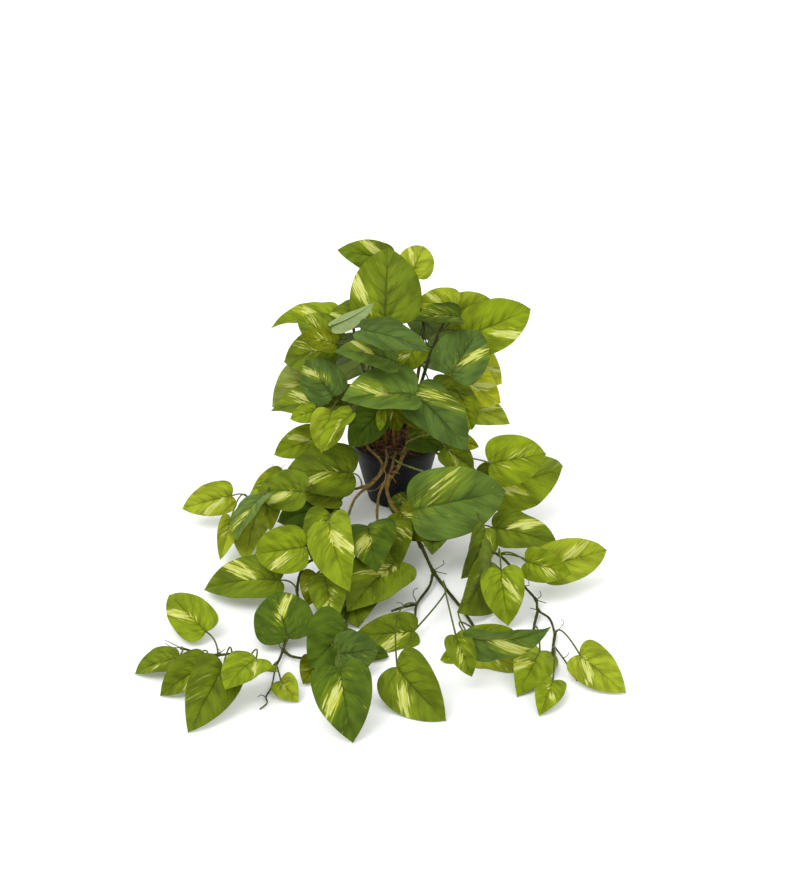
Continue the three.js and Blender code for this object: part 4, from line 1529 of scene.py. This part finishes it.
@dataclass
class LeafyStem:
    """One leafy stem: its rods and its blades.

    Attributes:
        plan: Its plan.
        first: The number of its first leaf in the plant.
    """

    plan: Plan
    first: int

    def make(
        self, outline: Outline, sides: Sequence[bpy.types.Material], barks: Sequence[bpy.types.Material]
    ) -> None:
        """Builds and dresses the stem.

        Args:
            outline: The shape that its blades are cut to.
            sides: The materials of the blades' two sides.
            barks: The materials of the rods.
        """
        viewer = self.plan.viewer
        blades = [Blade(leaf, self.first + i, viewer) for i, leaf in enumerate(self.plan.leaves)]
        joints = [point for route in self.plan.routes for point in route.points]
        rods = Rods(self.plan.name)
        kind = StemKind.WOODY if "crown" in self.plan.name else StemKind.VINE
        for route in self.plan.routes:
            rods.add_route(route, kind)
        for joint, end in self.plan.rootlets:
            rods.add_rootlet((joints[joint], end), ROOTLET_RADIUS)
        for twig in self.plan.twigs:
            rods.add_rootlet(twig, ROOTLET_RADIUS * FINE_TWIG_SHARE)
        for runner in self.plan.runners:
            rods.add_runner(runner)
        for blade in blades:
            rods.add_petiole(blade, joints[blade.leaf.joint])
        rods.dress(rods.build(), barks)
        cloth = Blades(self.plan.name, blades)
        cloth.dress(cloth.build(outline), *sides)


def spin(bm: bmesh.types.BMesh, profile: Sequence[tuple[float, float]], steps: int) -> None:
    """Turns a profile round the upright axis into a closed body.

    Args:
        bm: The bmesh that takes it.
        profile: The profile as radius and height, from axis to axis.
        steps: The sections of the full turn.
    """
    verts = [bm.verts.new((r * MM, 0, z * MM)) for r, z in profile]
    edges = [bm.edges.new(pair) for pair in zip(verts, verts[1:])]
    bmesh.ops.spin(
        bm,
        geom=[*verts, *edges],
        cent=(0, 0, 0),
        axis=(0, 0, 1),
        angle=2 * math.pi,
        steps=steps,
        use_merge=True,
    )
    bmesh.ops.remove_doubles(bm, verts=bm.verts, dist=MERGE_DISTANCE)
    bmesh.ops.recalc_face_normals(bm, faces=bm.faces)


@dataclass
class NurseryPot:
    """The tapered pot with its flared lip.

    Attributes:
        sides: The sections round it.
        edge: The width of its rounded edges.
        recess: The radius and height of the hollow under its floor.
        foot: The bevel at its foot.
        floor: The height of the floor inside.
    """

    sides: int = 120
    edge: float = 0.45
    recess: tuple[float, float] = (30, 2.0)
    foot: float = 1.5
    floor: float = 3.4

    def build(self) -> bpy.types.Mesh:
        """Builds the pot.

        Returns:
            The mesh.
        """
        lip_foot = POT_HEIGHT - LIP_HEIGHT
        slope = (WALL_RADIUS - POT_BASE_RADIUS) / lip_foot
        lip = WALL_RADIUS + LIP_STEP
        hollow, top = self.recess
        outside = [
            (0, top),
            (hollow, top),
            (hollow + 1, 0),
            (POT_BASE_RADIUS - self.foot, 0),
            (POT_BASE_RADIUS + slope * self.foot, self.foot),
            (POT_BASE_RADIUS + slope * 40, 40),
            (WALL_RADIUS, lip_foot),
            (lip, lip_foot + 0.6),
            (lip + 0.5, POT_HEIGHT - 5),
            (POT_LIP_RADIUS, POT_HEIGHT - 0.8),
        ]
        inside = [
            (POT_LIP_RADIUS - 0.7, POT_HEIGHT),
            (POT_LIP_RADIUS - POT_WALL - 0.6, POT_HEIGHT),
            (lip - POT_WALL, lip_foot + 2),
            (WALL_RADIUS - POT_WALL, lip_foot - 1),
            (POT_BASE_RADIUS - POT_WALL + slope * 1.8, self.floor),
            (0, self.floor),
        ]
        bm = bmesh.new()
        spin(bm, [*outside, *inside], self.sides)
        return mesh_of("nursery_pot", bm)

    def dress(self, mesh: bpy.types.Mesh, plastic: bpy.types.Material) -> None:
        """Rounds the pot's edges and gives it its finish.

        Args:
            mesh: The pot's mesh.
            plastic: Its material.
        """
        piece = add_piece("nursery_pot", mesh, (plastic,))
        edges = piece.modifiers.new("rounded edges", "BEVEL")
        edges.width = self.edge * MM
        edges.segments = 3
        edges.limit_method = "ANGLE"
        edges.angle_limit = math.radians(20)
        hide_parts("pot")


@dataclass
class GrowingMedium:
    """The fibre that fills the pot, with loose strands on it.

    Attributes:
        rings: The rings of its lumpy top.
        sides: The sections round it.
        strands: The loose strands on it.
        lump: How high its lumps rise.
        fade: The radius at which they have faded out.
        strewn: The radius that the strands' middles lie within.
        outermost: The radius that their ends stay within.
        bottom: The height that it reaches down to.
    """

    rings: int = 46
    sides: int = 120
    strands: int = 420
    lump: float = 2.2
    fade: float = 54
    strewn: float = 52
    outermost: float = 55
    bottom: float = 4

    def height(self, x: float, y: float) -> float:
        """Gives the height of the top at a place.

        Args:
            x: The place's x.
            y: The place's y.

        Returns:
            The height.
        """
        edge = max(0.0, 1 - (x * x + y * y) / (self.fade * self.fade))
        broad = math.sin(x * 0.23 + 1) * math.cos(y * 0.19)
        lump = self.lump * edge * (broad + 0.5 * math.sin(x * 0.41 - y * 0.37))
        rough = noise.fractal(Vector((x, y, 3)) * 0.22, 0.8, 2.1, 4) * 1.5
        return SOIL_TOP - 1.2 + lump + rough

    def build(self) -> bpy.types.Mesh:
        """Builds the filling.

        Returns:
            The mesh.
        """
        rim = WALL_RADIUS - POT_WALL - 0.8
        top = [(rim * i / self.rings, SOIL_TOP) for i in range(self.rings + 1)]
        bm = bmesh.new()
        side = [(rim, SOIL_TOP - 6), (POT_BASE_RADIUS - 1.2, self.bottom), (0, self.bottom)]
        spin(bm, [*top, *side], self.sides)
        for vert in bm.verts:
            x, y, z = vert.co / MM
            if z > SOIL_TOP - 0.5:
                vert.co.z = self.height(x, y) * MM
        return mesh_of("fibre_medium", bm)

    def scatter(self) -> bpy.types.Mesh:
        """Strews the strands over the top.

        Returns:
            The mesh.
        """
        rods = Rods("medium", sides=0)
        for i in range(self.strands):
            swing = 2 * math.pi * chance(i, Trait.STRAND_SWING)
            reach = self.strewn * math.sqrt(chance(i, Trait.STRAND_REACH))
            middle = at(reach * math.cos(swing), reach * math.sin(swing), 0)
            heading = math.pi * chance(i, Trait.STRAND_HEADING)
            length = 5 + 13 * chance(i, Trait.STRAND_LENGTH)
            run = []
            for k in range(5):
                share = k / 4 - 0.5
                bow = (chance(i, Trait.STRAND_BOW) - 0.5) * length * 0.5 * (0.25 - share * share) * 4
                spot = middle + Matrix.Rotation(heading, 3, "Z") @ at(share * length, bow, 0)
                if spot.length > self.outermost:
                    spot *= self.outermost / spot.length
                lift = 0.3 + 2.6 * chance(i, Trait.STRAND_LIFT) * (0.25 - (share - 0.1) ** 2) * 4
                run.append(at(spot.x, spot.y, self.height(spot.x, spot.y) + lift))
            radius = 0.22 + 0.3 * chance(i, Trait.STRAND_RADIUS)
            radii = [radius, radius, radius, radius, radius * 0.6]
            rods.rods.append((run, radii, StemKind(i % len(StemKind))))
        return rods.build()

    def dress(
        self, mesh: bpy.types.Mesh, strands: bpy.types.Mesh, fibres: Sequence[bpy.types.Material]
    ) -> None:
        """Gives the filling and the strands their finishes.

        Args:
            mesh: The filling's mesh.
            strands: The strands' mesh.
            fibres: The filling's material and those of the strands.
        """
        piece = add_piece("fibre_medium", mesh, fibres[:1])
        loose = add_piece("fibre_strands", strands, fibres[1:])
        for part in (piece, loose):
            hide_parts("growing_medium")


@dataclass(frozen=True)
class Lamp:
    """One square soft lamp.

    Attributes:
        name: Its name.
        place: Its place, in metres.
        size: Its side, in metres.
        power: Its power, in watts.
    """

    name: str
    place: tuple[float, float, float]
    size: float
    power: float


@dataclass
class Studio:
    """The pale floor, soft light and camera.

    Attributes:
        floor_size: The floor's side, in metres.
        sky: The strength of the light from all round.
        lamps: Its lamps.
        aim: The point that they face, in metres.
    """

    floor_size: float = 14.0
    sky: float = 1.12
    lamps: tuple[Lamp, ...] = (
        Lamp("key_softbox", (-3.0, -3.0, 6.2), 4.6, 240.0),
        Lamp("fill_softbox", (4.0, -3.0, 4.0), 4.0, 45.0),
    )
    aim: tuple[float, float, float] = (0, -0.2, 0.1)

    def lay_floor(self) -> None:
        """Lays the plain pale floor."""
        bm = bmesh.new()
        bmesh.ops.create_grid(bm, x_segments=2, y_segments=2, size=self.floor_size / 2)
        mesh = mesh_of("studio_floor", bm)
        recipe = Recipe("studio_floor_paper")
        mesh.materials.append(recipe.finish((0.95, 0.95, 0.95), 0.8, 0.1))
        floor = bpy.data.objects.new("studio_floor", mesh)
        bpy.context.scene.collection.objects.link(floor)

    def hang_lamp(self, lamp: Lamp) -> None:
        """Hangs a lamp that faces the plant.

        Args:
            lamp: The lamp.
        """
        light = bpy.data.lights.new(lamp.name, "AREA")
        light.size = lamp.size
        light.energy = lamp.power
        body = bpy.data.objects.new(lamp.name, light)
        body.location = lamp.place
        facing = Vector(self.aim) - Vector(lamp.place)
        body.rotation_euler = facing.to_track_quat("-Z", "Y").to_euler()
        bpy.context.scene.collection.objects.link(body)

    def set_camera(self) -> None:
        """Sets the camera at the picture's viewpoint."""
        data = bpy.data.cameras.new("viewpoint")
        data.lens = FOCAL_PIXELS / max(PICTURE) * data.sensor_width
        data.clip_end = 100.0
        camera = bpy.data.objects.new("viewpoint", data)
        camera.location = EYE * MM
        camera.rotation_euler = Euler((math.pi / 2 - EYE_PITCH, 0, 0))
        bpy.context.scene.collection.objects.link(camera)
        bpy.context.scene.camera = camera

    def light(self) -> None:
        """Lights the studio."""
        world = bpy.data.worlds.new("studio_light")
        world.use_nodes = True
        sky = world.node_tree.nodes["Background"]
        sky.inputs["Color"].default_value = (1.0, 1.0, 1.0, 1.0)
        sky.inputs["Strength"].default_value = self.sky
        bpy.context.scene.world = world
        bpy.context.scene.view_settings.view_transform = "Standard"
        for lamp in self.lamps:
            self.hang_lamp(lamp)


def main() -> None:
    """Builds the plant piece by piece and reports each one."""
    logging.basicConfig(level=logging.INFO, format="%(name)s %(message)s")
    studio = Studio()
    studio.set_camera()
    studio.light()
    studio.lay_floor()

    pot = NurseryPot()
    pot.dress(pot.build(), PotFinish().make())

    medium = GrowingMedium()
    # The coir colours are partly the medium's own and partly painted light, raised to lift the crown's shade
    # over the pot.
    fibres = (
        FibreFinish("coir_bed", (0.03, 0.012, 0.007), (0.14, 0.055, 0.03), (0.34, 0.2, 0.11)),
        FibreFinish("coir_dark", (0.03, 0.012, 0.006), (0.06, 0.024, 0.012), (0.1, 0.05, 0.02)),
        FibreFinish("coir_red", (0.12, 0.045, 0.025), (0.26, 0.11, 0.06), (0.38, 0.21, 0.12)),
        FibreFinish("coir_brown", (0.08, 0.035, 0.016), (0.18, 0.08, 0.038), (0.28, 0.14, 0.07)),
        FibreFinish("straw", (0.28, 0.18, 0.08), (0.45, 0.32, 0.16), (0.62, 0.5, 0.3)),
    )
    medium.dress(medium.build(), medium.scatter(), [fibre.make() for fibre in fibres])

    leaf_finish = LeafFinish()
    sides = (leaf_finish.upper(), leaf_finish.under())
    barks = (
        BarkFinish("woody_stem", (0.2, 0.1, 0.022), (0.36, 0.22, 0.06), far=(0.05, 0.055, 0.008)),
        BarkFinish("trailing_stem", (0.19, 0.115, 0.03), (0.34, 0.25, 0.08), far=(0.036, 0.044, 0.005)),
        BarkFinish("petiole", (0.14, 0.16, 0.03), (0.25, 0.28, 0.07), (0.07, 0.086, 0.009), 0.5, 0.0002),
        BarkFinish("rootlet", (0.32, 0.17, 0.05), (0.46, 0.32, 0.12), far=(0.05, 0.056, 0.008)),
    )
    bark_materials = [bark.make() for bark in barks]
    outline = Outline()
    number = 1
    plans = (*PLANS, back_plan("stem_crown_back_left", -1), back_plan("stem_crown_back_right", 1))
    for plan in plans:
        LeafyStem(plan, number).make(outline, sides, bark_materials)
        number += len(plan.leaves)


if __name__ == "__main__":
    main()
